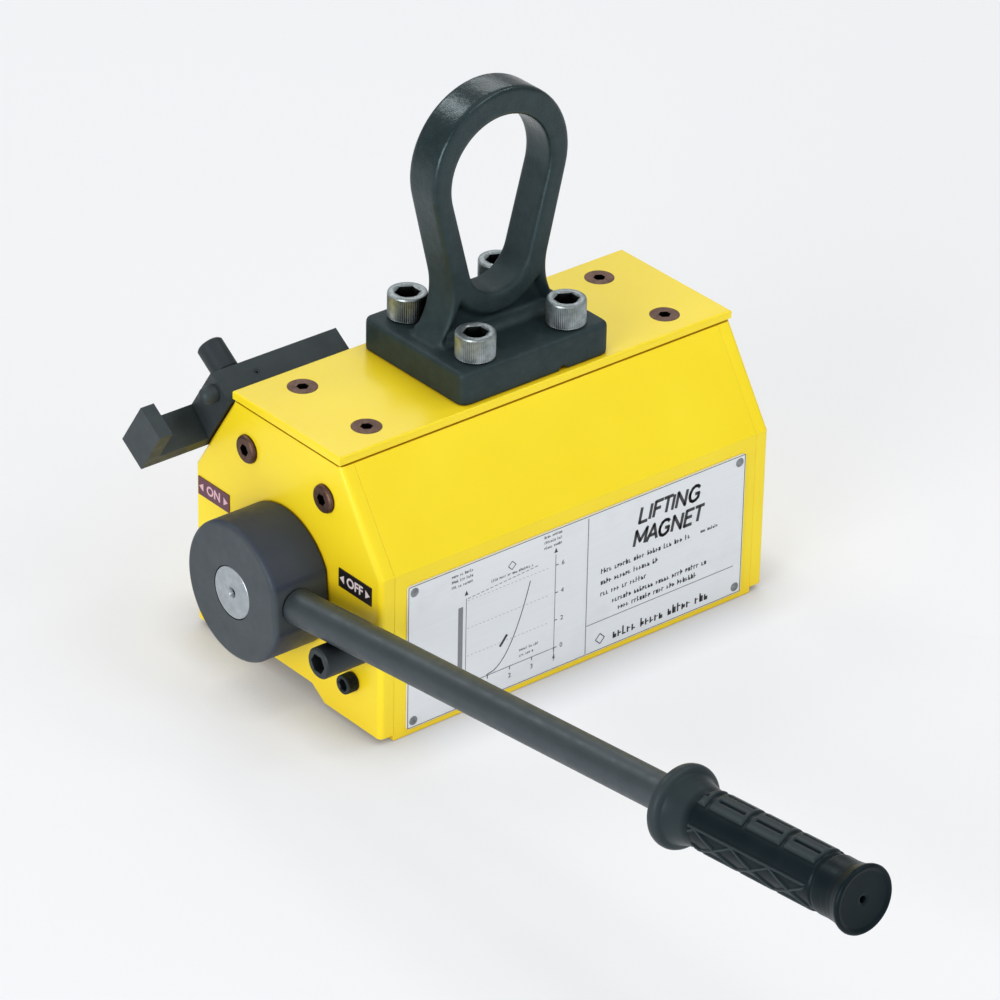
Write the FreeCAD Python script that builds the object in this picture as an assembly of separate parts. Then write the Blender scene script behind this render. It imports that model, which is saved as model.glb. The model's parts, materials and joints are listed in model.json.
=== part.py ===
import FreeCAD, Part
import math
import os

# Hand-operated switchable permanent lifting magnet, in millimetres.
# Origin: middle of the plane that both pole feet share with the load, +Z up to the lifting eye,
# +X towards the side that the lever lies on when the magnet is off, -Y towards the hub.

# ---------------------------------------------------------------- driving dimensions
body_length = 220.0
body_width = 132.0
shoulder_height = 82.0
crown_height = 126.0
crown_width = 74.0
end_plate_thickness = 7.5
top_plate_thickness = 4.0
top_plate_overhang = 0.7
end_plate_lift = 3.0
end_plate_round = 2.6
seam_height = 1.0
seam_depth = 1.4

relief_height = 6.0
relief_top_half_width = 18.0
relief_foot_half_width = 27.0
end_relief_height = 9.0
spacer_half_width = 10.0
magnet_half_width = 15.0
fixed_magnet_bottom = 99.5
fixed_magnet_top = 118.0
fixed_magnet_count = 4
magnet_gap = 0.4

rotor_axis_height = 57.0
rotor_radius = 40.0
air_gap = 0.4
rotor_core_half_length = 89.5
flange_radius = 39.5
flange_thickness = 10.0
rotor_slot_half_width = 8.0
rotor_magnet_reach = 34.0
rotor_magnet_count = 4
flange_screw_x = 22.0
flange_screw_z = 16.0
flange_screw_head = 5.5
flange_screw_length = 23.0
shaft_radius = 12.5
bush_radius = 15.5
bush_flange_radius = 19.0
bush_flange_thickness = 2.5
running_clearance = 0.05
rear_pocket_depth = 5.2
journal_end_room = 0.5
key_half_width = 4.0
key_depth = 4.0

hub_radius = 32.5
hub_front = -139.6
hub_back = -111.2
hub_flat_distance = 30.5
hub_edge_round = 2.5
set_screw_radius = 4.0
set_screw_sink = 1.5

lever_off_angle = 6.3
lever_on_angle = 135.5
lever_plane = -127.5
rod_radius = 8.0
rod_neck_radius = 6.0
grip_start = 279.5
grip_end = 387.5
grip_end_wall = 8.5
grip_vent_radius = 1.5
contact_gap = 0.3

bar_thickness = 16.5
bar_height = 36.0
bar_front = -144.5
bar_rear = -42.5
bar_drop = 3.0
hook_thickness = 7.0
hook_top_drop = 10.3
notch_back = -111.0
pin_radius = 4.0
pin_depth = 9.5
pin_drop = 5.8
pin_rear = -80.0
pin_pocket_rear = -64.0
pin_advance = 6.0
pin_retreat = 7.0
knob_radius = 6.2
knob_length = 15.0
knob_position = -100.0
stem_radius = 2.0
bar_screw_rows = (-95.0, -55.0)
bar_screw_drop = 25.0
bar_screw_bite = 14.0
bar_screw_sink = 8.6
detent_position = -90.5
detent_radius = 1.5
detent_clearance = 0.12
detent_sink = 0.2
spring_wire_radius = 0.4
spring_coil_radius = 2.9
spring_turns = 5

eye_half_thickness = 9.5
eye_base_width = 70.0
eye_base_length = 83.0
eye_base_corner = 4.0
eye_base_thickness = 15.5
eye_outer_radius = 37.3
eye_outer_height = 222.2
eye_hole_radius = 27.2
eye_hole_height = 219.0
eye_foot_radius = 17.0
eye_foot_height = 179.5
eye_waist_half_width = 27.0
eye_waist_height = 175.0
eye_flare_half_width = 39.5
eye_toe_depth = 3.0
eye_edge_round = 2.2
eye_root_radius = 4.0
eye_root_half_length = 33.0
eye_screw_x = 23.5
eye_screw_y = 25.5
eye_screw_length = 40.0
eye_drain_radius = 2.0
eye_drain_y = 15.0

top_screw_x = 22.4
top_screw_y = 84.0
top_screw_head = 6.75
top_screw_length = 20.0
plate_screw_x = 27.2
plate_screw_z = 105.8
plate_screw_head = 6.6
plate_screw_length = 19.5
button_height = 2.2
low_screw_x = 47.2
low_screw_z = 24.4
low_screw_length = 22.0
stop_post_radius = 7.2
stop_post_length = 27.0
stop_stud_radius = 5.0
stop_reach = 55.7

name_plate_length = 192.0
name_plate_bottom = 3.5
name_plate_top = 75.0
rivet_inset = 3.6
rivet_shank_radius = 1.2
rivet_head_radius = 2.4
rivet_bite = 5.0
name_plate_thickness = 0.8
label_width = 22.6
label_height = 9.0
on_label_x = -52.0
off_label_x = 48.5
label_z = 72.0
label_thickness = 0.5

half_length = body_length / 2
pole_end = half_length - end_plate_thickness
top_face = crown_height + top_plate_thickness
bore_radius = rotor_radius + air_gap
hole_clearance = 0.05
screw_tip_room = 1.0
flat_head_rim = 0.4
socket_width = {6: 5.0, 8: 6.0, 12: 10.0}

UP = FreeCAD.Vector(0, 0, 1)
DOWN = FreeCAD.Vector(0, 0, -1)
BACK = FreeCAD.Vector(0, 1, 0)
FRONT = FreeCAD.Vector(0, -1, 0)
RIGHT = FreeCAD.Vector(1, 0, 0)
LEFT = FreeCAD.Vector(-1, 0, 0)


# ---------------------------------------------------------------- shape helpers
def vec(x, y, z):
    return FreeCAD.Vector(x, y, z)


def box(low, high):
    size = [top - bottom for bottom, top in zip(low, high)]
    return Part.makeBox(size[0], size[1], size[2], vec(*low))


def rod(radius, start, direction, length):
    return Part.makeCylinder(radius, length, start, direction)


def bar_along_y(outline, start, end):
    """Prism along Y whose cross-section is a list of (x, z) corners."""
    corners = [vec(x, start, z) for x, z in outline]
    wire = Part.makePolygon(corners + [corners[0]])
    return Part.Face(wire).extrude(vec(0, end - start, 0))


def turned(profile):
    """Solid turned about Z from (radius, height) corners that start and end on the axis."""
    corners = [vec(radius, 0, height) for radius, height in profile]
    wire = Part.makePolygon(corners + [corners[0]])
    return Part.Face(wire).revolve(vec(0, 0, 0), UP, 360)


def hex_socket(width, depth):
    """Hexagonal recess, open at Z = 0 and running down."""
    reach = width / math.sqrt(3)
    angles = [math.radians(60 * index) for index in range(7)]
    corners = [vec(reach * math.cos(angle), reach * math.sin(angle), 0) for angle in angles]
    return Part.Face(Part.makePolygon(corners)).extrude(vec(0, 0, -depth))


def placed(shape, origin, direction):
    """Move a shape built about Z so that its -Z points along direction from origin."""
    moved = shape.copy()
    moved.Placement = FreeCAD.Placement(origin, FreeCAD.Rotation(DOWN, direction))
    return moved


def cap_screw(size, length, seat, direction):
    """Socket cap screw: its head stands on seat and its shank runs along direction."""
    head_radius = 0.75 * size
    rim = 0.08 * size
    profile = [(0, size), (head_radius - rim, size), (head_radius, size - rim), (head_radius, 0),
               (size / 2, 0), (size / 2, -length), (0, -length)]
    socket = hex_socket(socket_width[size], 0.5 * size)
    socket.translate(vec(0, 0, size))
    return placed(turned(profile).cut(socket), seat, direction)


def flat_screw(size, head_radius, length, face, direction):
    """Countersunk socket screw whose head lies flush with face."""
    cone_depth = head_radius - size / 2
    profile = [(0, 0), (head_radius, 0), (head_radius, -flat_head_rim),
               (size / 2, -flat_head_rim - cone_depth), (size / 2, -length), (0, -length)]
    return placed(turned(profile).cut(hex_socket(5.0, 2.4)), face, direction)


def button_screw(size, head_radius, length, seat, direction):
    """Low round head that stands on seat, with its shank along direction."""
    profile = [(0, button_height), (head_radius - 1.2, button_height),
               (head_radius - 0.4, button_height - 0.5), (head_radius, button_height - 1.3),
               (head_radius, 0), (size / 2, 0), (size / 2, -length), (0, -length)]
    socket = hex_socket(5.0, 2.6)
    socket.translate(vec(0, 0, button_height))
    return placed(turned(profile).cut(socket), seat, direction)


def hole_for(screw_radius, start, direction, length):
    return rod(screw_radius + hole_clearance, start, direction, length)


def countersink_for(size, head_radius, face, direction, length):
    """Drilling that a flat_screw fills, with a little room all round."""
    radius = size / 2 + hole_clearance
    wide = head_radius + hole_clearance
    profile = [(0, 1), (wide, 1), (wide, -flat_head_rim), (radius, -flat_head_rim - (wide - radius)),
               (radius, -length), (0, -length)]
    return placed(turned(profile), face, direction)


def group(solids):
    return Part.makeCompound(solids)


def mirrored_in_x(shape):
    return shape.mirror(vec(0, 0, 0), RIGHT)


# ---------------------------------------------------------------- lever and lock directions
def lever_direction(angle):
    return vec(math.cos(math.radians(angle)), 0, math.sin(math.radians(angle)))


rotor_centre = vec(0, 0, rotor_axis_height)
lever_root = vec(0, lever_plane, rotor_axis_height)
off_direction = lever_direction(lever_off_angle)
on_direction = lever_direction(lever_on_angle)
magnet_tilt = (180 - (lever_on_angle - lever_off_angle)) / 2

slope_run = (body_width - crown_width) / 2
slope_rise = crown_height - shoulder_height
slope_length = math.hypot(slope_run, slope_rise)
bar_out = vec(-slope_rise / slope_length, 0, slope_run / slope_length)
bar_up = vec(slope_run / slope_length, 0, slope_rise / slope_length)
bar_corner = vec(-crown_width / 2, 0, crown_height) - bar_up * bar_drop


def bar_point(out, drop, y):
    """Point of the lock bar: out from the shoulder face, drop below its upper edge, at y."""
    return bar_corner + bar_out * out - bar_up * drop + vec(0, y, 0)


# ---------------------------------------------------------------- magnet body
def body_outline(half_width):
    """Right flank from the shoulder up to the groove that runs under the top plate."""
    groove_floor = crown_height - seam_height
    shoulder_end = crown_width / 2 + seam_height * slope_run / slope_rise
    return [(half_width, shoulder_height), (shoulder_end, groove_floor)]


def rotor_bore():
    return rod(bore_radius, vec(0, -half_length, rotor_axis_height), BACK, body_length)


def right_pole():
    """Steel pole shoe right of the bore, with its foot and its share of the crown."""
    outline = [(relief_foot_half_width, 0), (body_width / 2, 0)]
    outline += body_outline(body_width / 2)
    outline += [(crown_width / 2 - seam_depth, crown_height - seam_height),
                (crown_width / 2 - seam_depth, crown_height)]
    outline += [(magnet_half_width, crown_height), (magnet_half_width, rotor_axis_height),
                (spacer_half_width, rotor_axis_height), (spacer_half_width, relief_height),
                (relief_top_half_width, relief_height)]
    pole = bar_along_y(outline, -pole_end, pole_end).cut(rotor_bore())
    for side in (-1, 1):
        top_spot = vec(top_screw_x, side * top_screw_y, crown_height)
        eye_spot = vec(eye_screw_x, side * eye_screw_y, crown_height)
        plate_spot = vec(plate_screw_x, side * pole_end, plate_screw_z)
        low_spot = vec(low_screw_x, side * pole_end, low_screw_z)
        inward = vec(0, -side, 0)
        for radius, spot, direction, bite in (
                (4, top_spot, DOWN, top_screw_length - top_plate_thickness),
                (6, eye_spot, DOWN, eye_screw_length - eye_base_thickness - top_plate_thickness),
                (4, plate_spot, inward, plate_screw_length - end_plate_thickness),
                (3, low_spot, inward, low_screw_length - end_plate_thickness)):
            pole = pole.cut(hole_for(radius, spot, direction, bite + screw_tip_room))
    return pole


def pole_with_bar_holes():
    """Left pole shoe: the right one mirrored, drilled for the lock bar's two screws."""
    pole = mirrored_in_x(right_pole())
    for y in bar_screw_rows:
        pole = pole.cut(hole_for(4, bar_point(0, bar_screw_drop, y), bar_out * -1, bar_screw_bite))
    return pole


def pole_with_rivet_holes():
    """Right pole shoe, drilled for the four rivets of the rating plate."""
    pole = right_pole()
    for spot in rivet_spots():
        pole = pole.cut(hole_for(rivet_shank_radius, spot, LEFT, rivet_bite + screw_tip_room))
    return pole


def between_poles(half_width, bottom, top):
    strip = box((-half_width, -pole_end, bottom), (half_width, pole_end, top))
    return strip.cut(rotor_bore())


def fixed_magnets():
    """Row of magnet blocks that stands still above the rotor."""
    pitch = 2 * pole_end / fixed_magnet_count
    blocks = []
    for index in range(fixed_magnet_count):
        start = -pole_end + index * pitch + magnet_gap / 2
        low = (-magnet_half_width, start, fixed_magnet_bottom)
        high = (magnet_half_width, start + pitch - magnet_gap, fixed_magnet_top)
        blocks.append(box(low, high))
    return group(blocks)


def top_plate():
    """Cover over the crown, drilled for its own screws and for the eye's."""
    half_width = crown_width / 2 + top_plate_overhang
    reach = half_length + top_plate_overhang / 2
    plate = box((-half_width, -reach, crown_height), (half_width, reach, top_face))
    upper = [edge for edge in plate.Edges if edge.BoundBox.ZMin > top_face - 0.01]
    plate = plate.makeFillet(1.0, upper)
    for x_side in (-1, 1):
        for y_side in (-1, 1):
            screw_face = vec(x_side * top_screw_x, y_side * top_screw_y, top_face)
            plate = plate.cut(countersink_for(8, top_screw_head, screw_face, DOWN, 6))
            eye_hole = vec(x_side * eye_screw_x, y_side * eye_screw_y, top_face + 1)
            plate = plate.cut(hole_for(6, eye_hole, DOWN, 6))
    return plate


def top_plate_screws():
    spots = [vec(x * top_screw_x, y * top_screw_y, top_face) for x in (-1, 1) for y in (-1, 1)]
    return group([flat_screw(8, top_screw_head, top_screw_length, spot, DOWN) for spot in spots])


def end_plate(side):
    """Front (side -1) or rear (side 1) cheek: rounded flanks, a relieved foot, its top below the poles'."""
    outline = [(relief_top_half_width, end_relief_height), (relief_foot_half_width, end_plate_lift),
               (body_width / 2, end_plate_lift)]
    outline += body_outline(body_width / 2)
    outline += [(-x, z) for x, z in reversed(outline)]
    plate = bar_along_y(outline, side * pole_end, side * half_length)
    rim = []
    for edge in plate.Edges:
        on_outer_face = abs(edge.BoundBox.YMin - side * half_length) < 0.01 and edge.BoundBox.YLength < 0.01
        on_flank = edge.BoundBox.ZMax > end_plate_lift + 0.01 and edge.BoundBox.XLength < body_width / 3
        above_relief = max(abs(edge.BoundBox.XMin), abs(edge.BoundBox.XMax)) > crown_width / 2
        if on_outer_face and on_flank and above_relief:
            rim.append(edge)
    plate = plate.makeFillet(end_plate_round, rim)
    face = side * half_length
    inward = vec(0, -side, 0)
    for x_side in (-1, 1):
        plate_screw = vec(x_side * plate_screw_x, face, plate_screw_z)
        plate = plate.cut(hole_for(4, plate_screw, inward, 20))
        low_screw = vec(x_side * low_screw_x, face, low_screw_z)
        plate = plate.cut(hole_for(3, low_screw, inward, 20))
    return plate


def front_plate():
    """Cheek on the hub side: the rotor's front bush goes right through it."""
    plate = end_plate(-1)
    plate = plate.cut(rod(bush_radius, vec(0, -half_length, rotor_axis_height), BACK, end_plate_thickness))
    return plate.cut(hole_for(stop_stud_radius, stop_centre(-half_length), BACK, end_plate_thickness))


def rear_plate():
    """Closed cheek: the rear bush sits in a blind pocket on its inner side."""
    plate = end_plate(1)
    return plate.cut(rod(bush_radius, vec(0, pole_end, rotor_axis_height), BACK, rear_pocket_depth))


def plate_screws(side):
    inward = vec(0, -side, 0)
    spots = [vec(x * plate_screw_x, side * half_length, plate_screw_z) for x in (-1, 1)]
    return group([button_screw(8, plate_screw_head, plate_screw_length, spot, inward) for spot in spots])


def low_screws(side):
    inward = vec(0, -side, 0)
    spots = [vec(x * low_screw_x, side * half_length, low_screw_z) for x in (-1, 1)]
    return group([cap_screw(6, low_screw_length, spot, inward) for spot in spots])


def bush(side, length):
    """Bronze bush whose flange also takes the rotor's end thrust."""
    start = vec(0, side * (pole_end - bush_flange_thickness), rotor_axis_height)
    outward = vec(0, side, 0)
    whole_length = length + bush_flange_thickness
    sleeve = rod(bush_radius, start, outward, whole_length)
    collar = rod(bush_flange_radius, start, outward, bush_flange_thickness)
    opening = rod(shaft_radius + running_clearance, start - outward, outward, whole_length + 2)
    return sleeve.fuse(collar).cut(opening).removeSplitter()


# ---------------------------------------------------------------- lifting eye
def tangent_touch(centre_height, radius, x, z):
    """Point where the tangent from (x, z) meets the right side of a circle on the Z axis."""
    distance = math.hypot(x, z - centre_height)
    angle = math.atan2(z - centre_height, x) + math.acos(radius / distance)
    return radius * math.cos(angle), centre_height + radius * math.sin(angle)


def eye_outline():
    """Outer edge of the eye in the YZ plane: round crown, tapered legs and flared feet."""
    touch_y, touch_z = tangent_touch(eye_outer_height, eye_outer_radius,
                                     eye_waist_half_width, eye_waist_height)
    toe_y = eye_flare_half_width
    toe_z = top_face + eye_base_thickness - eye_toe_depth
    leg_length = math.hypot(touch_y - eye_waist_half_width, touch_z - eye_waist_height)
    out_y = (touch_z - eye_waist_height) / leg_length
    out_z = -(touch_y - eye_waist_half_width) / leg_length
    run_y = eye_waist_half_width - toe_y
    run_z = eye_waist_height - toe_z
    flare_radius = -(run_y ** 2 + run_z ** 2) / (2 * (run_y * out_y + run_z * out_z))
    centre_y = eye_waist_half_width + flare_radius * out_y
    centre_z = eye_waist_height + flare_radius * out_z
    towards_y = (eye_waist_half_width + toe_y) / 2 - centre_y
    towards_z = (eye_waist_height + toe_z) / 2 - centre_z
    stretch = flare_radius / math.hypot(towards_y, towards_z)

    def at(y, z):
        return vec(-eye_half_thickness, y, z)

    top = at(0, eye_outer_height + eye_outer_radius)
    edges = [Part.Arc(at(touch_y, touch_z), top, at(-touch_y, touch_z)).toShape()]
    for side in (-1, 1):
        waist = at(side * eye_waist_half_width, eye_waist_height)
        flare = at(side * (centre_y + towards_y * stretch), centre_z + towards_z * stretch)
        toe = at(side * toe_y, toe_z)
        edges.append(Part.makeLine(at(side * touch_y, touch_z), waist))
        edges.append(Part.Arc(waist, flare, toe).toShape())
        edges.append(Part.makeLine(toe, at(side * toe_y, top_face + 2)))
    edges.append(Part.makeLine(at(-toe_y, top_face + 2), at(toe_y, top_face + 2)))
    return Part.Wire(Part.__sortEdges__(edges))


def eye_hole():
    """Pear-shaped hole: a wide arc for the hook above a narrower round foot."""
    rise = eye_hole_height - eye_foot_height
    lean = math.asin((eye_hole_radius - eye_foot_radius) / rise)

    def at(radius, height, side):
        return vec(-eye_half_thickness, side * radius * math.cos(lean), height - radius * math.sin(lean))

    upper = [at(eye_hole_radius, eye_hole_height, side) for side in (1, -1)]
    lower = [at(eye_foot_radius, eye_foot_height, side) for side in (1, -1)]
    crown = vec(-eye_half_thickness, 0, eye_hole_height + eye_hole_radius)
    foot = vec(-eye_half_thickness, 0, eye_foot_height - eye_foot_radius)
    edges = [Part.Arc(upper[0], crown, upper[1]).toShape(), Part.makeLine(upper[1], lower[1]),
             Part.Arc(lower[1], foot, lower[0]).toShape(), Part.makeLine(lower[0], upper[0])]
    return Part.Wire(edges)


def eye_root(side):
    """Hollow-faced strip that blends one flank of the ring into the foot."""
    radius = eye_root_radius
    seat = top_face + eye_base_thickness

    def at(out, rise):
        return vec(side * (eye_half_thickness + out), -eye_root_half_length, seat + rise)

    middle = radius * (1 - math.sqrt(0.5))
    hollow = Part.Arc(at(radius, 0), at(middle, middle), at(0, radius)).toShape()
    corners = [at(0, radius), at(-1, radius), at(-1, -1), at(radius, -1), at(radius, 0)]
    wire = Part.Wire([hollow] + Part.makePolygon(corners).Edges)
    return Part.Face(wire).extrude(vec(0, 2 * eye_root_half_length, 0))


def lifting_eye():
    """Forged eye: thick ring in the YZ plane on a rectangular foot with four screw holes."""
    thickness = vec(2 * eye_half_thickness, 0, 0)
    ring = Part.Face(eye_outline()).extrude(thickness)
    ring = ring.cut(Part.Face(eye_hole()).extrude(thickness))
    foot_top = top_face + eye_base_thickness
    rim = [edge for edge in ring.Edges
           if edge.BoundBox.XLength < 0.01 and edge.BoundBox.ZMax > foot_top + 1]
    ring = ring.makeFillet(eye_edge_round, rim)
    foot = box((-eye_base_width / 2, -eye_base_length / 2, top_face),
               (eye_base_width / 2, eye_base_length / 2, foot_top))
    foot = foot.makeFillet(eye_base_corner, [edge for edge in foot.Edges if edge.BoundBox.ZLength > 1])
    foot = foot.makeFillet(2.0, [edge for edge in foot.Edges if edge.BoundBox.ZMin > foot_top - 0.01])
    eye = ring.fuse(foot)
    for side in (-1, 1):
        eye = eye.fuse(eye_root(side))
    eye = eye.removeSplitter()
    for x_side in (-1, 1):
        for y_side in (-1, 1):
            start = vec(x_side * eye_screw_x, y_side * eye_screw_y, foot_top + 1)
            eye = eye.cut(hole_for(6, start, DOWN, eye_base_thickness + 2))
    drain = rod(eye_drain_radius, vec(0, eye_drain_y, top_face), RIGHT, eye_base_width)
    return eye.cut(drain)


def eye_screws():
    seat = top_face + eye_base_thickness
    spots = [vec(x * eye_screw_x, y * eye_screw_y, seat) for x in (-1, 1) for y in (-1, 1)]
    return group([cap_screw(12, eye_screw_length, spot, DOWN) for spot in spots])


# ---------------------------------------------------------------- plates and labels
def rivet_spots():
    reach = name_plate_length / 2 - rivet_inset
    rows = (name_plate_bottom + rivet_inset, name_plate_top - rivet_inset)
    face = body_width / 2
    return [vec(face, side * reach, z) for side in (-1, 1) for z in rows]


def name_plate():
    """Thin rating plate on the right flank, with a hole at each corner for its rivet."""
    face = body_width / 2
    plate = box((face, -name_plate_length / 2, name_plate_bottom),
                (face + name_plate_thickness, name_plate_length / 2, name_plate_top))
    plate = plate.makeFillet(1.5, [edge for edge in plate.Edges if edge.BoundBox.XLength > 0.1])
    for spot in rivet_spots():
        plate = plate.cut(hole_for(rivet_shank_radius, spot, RIGHT, 2))
    return plate


def name_plate_rivets():
    """Drive rivets: a low domed head on the plate and a plain shank in the pole."""
    rivets = []
    for spot in rivet_spots():
        seat = spot + RIGHT * name_plate_thickness
        shank_length = rivet_bite + name_plate_thickness + 0.2
        shank = rod(rivet_shank_radius, spot + LEFT * rivet_bite, RIGHT, shank_length)
        dome = Part.makeSphere(3.2, seat + LEFT * 2.3)
        head = dome.common(rod(rivet_head_radius, seat, RIGHT, 2))
        rivets.append(shank.fuse(head).removeSplitter())
    return group(rivets)


def state_label(middle):
    """Small plate on the front cheek that marks one end of the lever's travel."""
    low = (middle - label_width / 2, -half_length - label_thickness, label_z - label_height / 2)
    high = (middle + label_width / 2, -half_length, label_z + label_height / 2)
    return box(low, high)


# ---------------------------------------------------------------- lever stop and lock
def stop_centre(y):
    """Axis of the stop post at y: it just clears the underside of the resting lever."""
    below = vec(math.sin(math.radians(lever_off_angle)), 0, -math.cos(math.radians(lever_off_angle)))
    offset = rod_radius + stop_post_radius + contact_gap
    spot = rotor_centre + off_direction * stop_reach + below * offset
    return vec(spot.x, y, spot.z)


def stop_post():
    """Round post with a socketed face, screwed into the front cheek under the lever."""
    shoulder = -stop_post_length
    stud_end = shoulder - end_plate_thickness
    profile = [(0, 0), (stop_post_radius - 0.8, 0), (stop_post_radius, -0.8), (stop_post_radius, shoulder),
               (stop_stud_radius, shoulder), (stop_stud_radius, stud_end), (0, stud_end)]
    post = turned(profile).cut(hex_socket(8.0, 6.0))
    return placed(post, stop_centre(-half_length - stop_post_length), BACK)


def lock_bar():
    """Bar on the left shoulder: a hooked notch takes the lever, a bore behind it takes the pin."""
    outline = [bar_point(out, drop, 0) for out, drop in
               ((0, 0), (bar_thickness, 0), (bar_thickness, bar_height), (0, bar_height))]
    bar = bar_along_y([(corner.x, corner.z) for corner in outline], bar_front, bar_rear)
    floor_offset = rod_radius + contact_gap
    upward = vec(on_direction.z, 0, -on_direction.x)
    notch_front = bar_front + hook_thickness
    floor = rotor_centre - upward * floor_offset
    reach = 140.0
    rise = 60.0
    corners = [floor, floor + on_direction * reach, floor + on_direction * reach + upward * rise,
               floor + upward * rise]
    notch = bar_along_y([(corner.x, corner.z) for corner in corners], notch_front, notch_back)
    bar = bar.cut(notch).cut(hook_relief())
    pocket_start = bar_point(pin_depth, pin_drop, notch_back)
    bar = bar.cut(rod(pin_radius + running_clearance, pocket_start, BACK, pin_pocket_rear - notch_back))
    bar = bar.cut(stem_slot())
    for y in bar_screw_rows:
        face = bar_point(bar_thickness, bar_screw_drop, y)
        bar = bar.cut(hole_for(4, face, bar_out * -1, bar_thickness))
        bar = bar.cut(rod(6.6, face, bar_out * -1, bar_screw_sink))
    detent_mouth = bar_point(pin_depth, 0, detent_position)
    return bar.cut(rod(detent_radius + detent_clearance, detent_mouth, bar_up * -1, pin_drop))


def hook_relief():
    """Space above the hook, whose top is lower than the bar's upper edge."""
    corners = [bar_point(-1, -1, 0), bar_point(bar_thickness + 1, -1, 0),
               bar_point(bar_thickness + 1, hook_top_drop, 0), bar_point(-1, hook_top_drop, 0)]
    return bar_along_y([(corner.x, corner.z) for corner in corners], bar_front - 1, notch_back)


def stem_slot():
    """Slot in the bar's outer face along which the knob's stem runs."""
    width = stem_radius + contact_gap
    start = knob_position - pin_advance
    end = knob_position + pin_retreat
    depth = bar_thickness - pin_depth + 1
    ends = [rod(width, bar_point(pin_depth, pin_drop, y), bar_out, depth) for y in (start, end)]
    corners = [bar_point(pin_depth, pin_drop + shift, start) for shift in (-width, width)]
    face = Part.Face(Part.makePolygon([corners[0], corners[1], corners[1] + bar_out * depth,
                                       corners[0] + bar_out * depth, corners[0]]))
    return face.extrude(vec(0, end - start, 0)).fuse(ends)


def lock_bar_screws():
    screws = []
    for y in bar_screw_rows:
        seat = bar_point(bar_thickness - bar_screw_sink, bar_screw_drop, y)
        length = bar_thickness - bar_screw_sink + bar_screw_bite
        screws.append(cap_screw(8, length - 0.2, seat, bar_out * -1))
    return group(screws)


def detent_screw():
    """Grub screw above the pin, whose tip keeps the pin where it is put."""
    top = bar_point(pin_depth, detent_sink, detent_position)
    tip = detent_sink + pin_radius + contact_gap - pin_drop
    profile = [(0, 0), (detent_radius, 0), (detent_radius, tip + 0.5), (0.8, tip), (0, tip)]
    return placed(turned(profile).cut(hex_socket(1.5, 0.7)), top, bar_up * -1)


def lock_pin():
    """Round-nosed pin, parked just behind the lever's path; its cross hole takes the knob's stem."""
    nose_tip = lever_plane + rod_radius + 2 * contact_gap
    base = bar_point(pin_depth, pin_drop, nose_tip + pin_radius)
    pin = rod(pin_radius, base, BACK, pin_rear - base.y)
    pin = pin.fuse(Part.makeSphere(pin_radius, base)).removeSplitter()
    stem_hole = rod(stem_radius, bar_point(pin_depth, pin_drop, knob_position), bar_out, pin_radius + 1)
    return pin.cut(stem_hole)


def lock_knob():
    """Cylindrical knob that stands square on the bar's outer face."""
    seat = bar_thickness + contact_gap
    stem = rod(stem_radius, bar_point(pin_depth + 0.2, pin_drop, knob_position), bar_out, seat - pin_depth)
    profile = [(0, 0), (knob_radius - 0.5, 0), (knob_radius, 0.5), (knob_radius, knob_length - 0.8),
               (knob_radius - 0.8, knob_length), (0, knob_length)]
    knob = placed(turned(profile), bar_point(seat, pin_drop, knob_position), bar_out * -1)
    return knob.fuse(stem).removeSplitter()


def lock_spring():
    """Compression spring between the pin and the end of its pocket."""
    length = pin_pocket_rear - pin_rear - 2 * spring_wire_radius
    helix = Part.makeHelix(length / spring_turns, length, spring_coil_radius)
    section = Part.Wire(Part.makeCircle(spring_wire_radius, vec(spring_coil_radius, 0, 0), BACK))
    coil = Part.Wire(helix).makePipeShell([section], True, True)
    start = bar_point(pin_depth, pin_drop, pin_rear + spring_wire_radius)
    coil.Placement = FreeCAD.Placement(start, FreeCAD.Rotation(UP, BACK))
    return coil


# ---------------------------------------------------------------- rotor
def in_rotor(shape):
    """Turn a shape from the upright rotor frame into its resting tilt."""
    turned_shape = shape.copy()
    turned_shape.rotate(rotor_centre, FRONT, magnet_tilt)
    return turned_shape


def rotor_slab(half_width, half_height, half_run):
    low = (-half_width, -half_run, rotor_axis_height - half_height)
    high = (half_width, half_run, rotor_axis_height + half_height)
    return box(low, high)


def rotor_round(radius, start, end):
    return rod(radius, vec(0, start, rotor_axis_height), BACK, end - start)


def flange_screw_spots(y):
    spots = []
    for x_side in (-1, 1):
        for z_side in (-1, 1):
            spots.append(vec(x_side * flange_screw_x, y, rotor_axis_height + z_side * flange_screw_z))
    return spots


def rotor_core(side):
    """Soft-iron half of the rotor, on one side of its magnet slab."""
    core = rotor_round(rotor_radius, -rotor_core_half_length, rotor_core_half_length)
    away = rotor_slab(rotor_radius, rotor_radius + 10, half_length)
    away.translate(vec(side * (rotor_slot_half_width - rotor_radius), 0, 0))
    core = core.cut(away)
    for end in (-1, 1):
        for spot in flange_screw_spots(end * rotor_core_half_length):
            bite = flange_screw_length - flange_thickness
            core = core.cut(hole_for(3, spot, vec(0, -end, 0), bite + screw_tip_room))
    return in_rotor(core)


def rotor_magnets():
    """Row of magnet blocks through the middle of the rotor."""
    pitch = 2 * rotor_core_half_length / rotor_magnet_count
    blocks = []
    for index in range(rotor_magnet_count):
        start = -rotor_core_half_length + index * pitch + magnet_gap / 2
        low = (-rotor_slot_half_width, start, rotor_axis_height - rotor_magnet_reach)
        high = (rotor_slot_half_width, start + pitch - magnet_gap, rotor_axis_height + rotor_magnet_reach)
        blocks.append(in_rotor(box(low, high)))
    return group(blocks)


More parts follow.
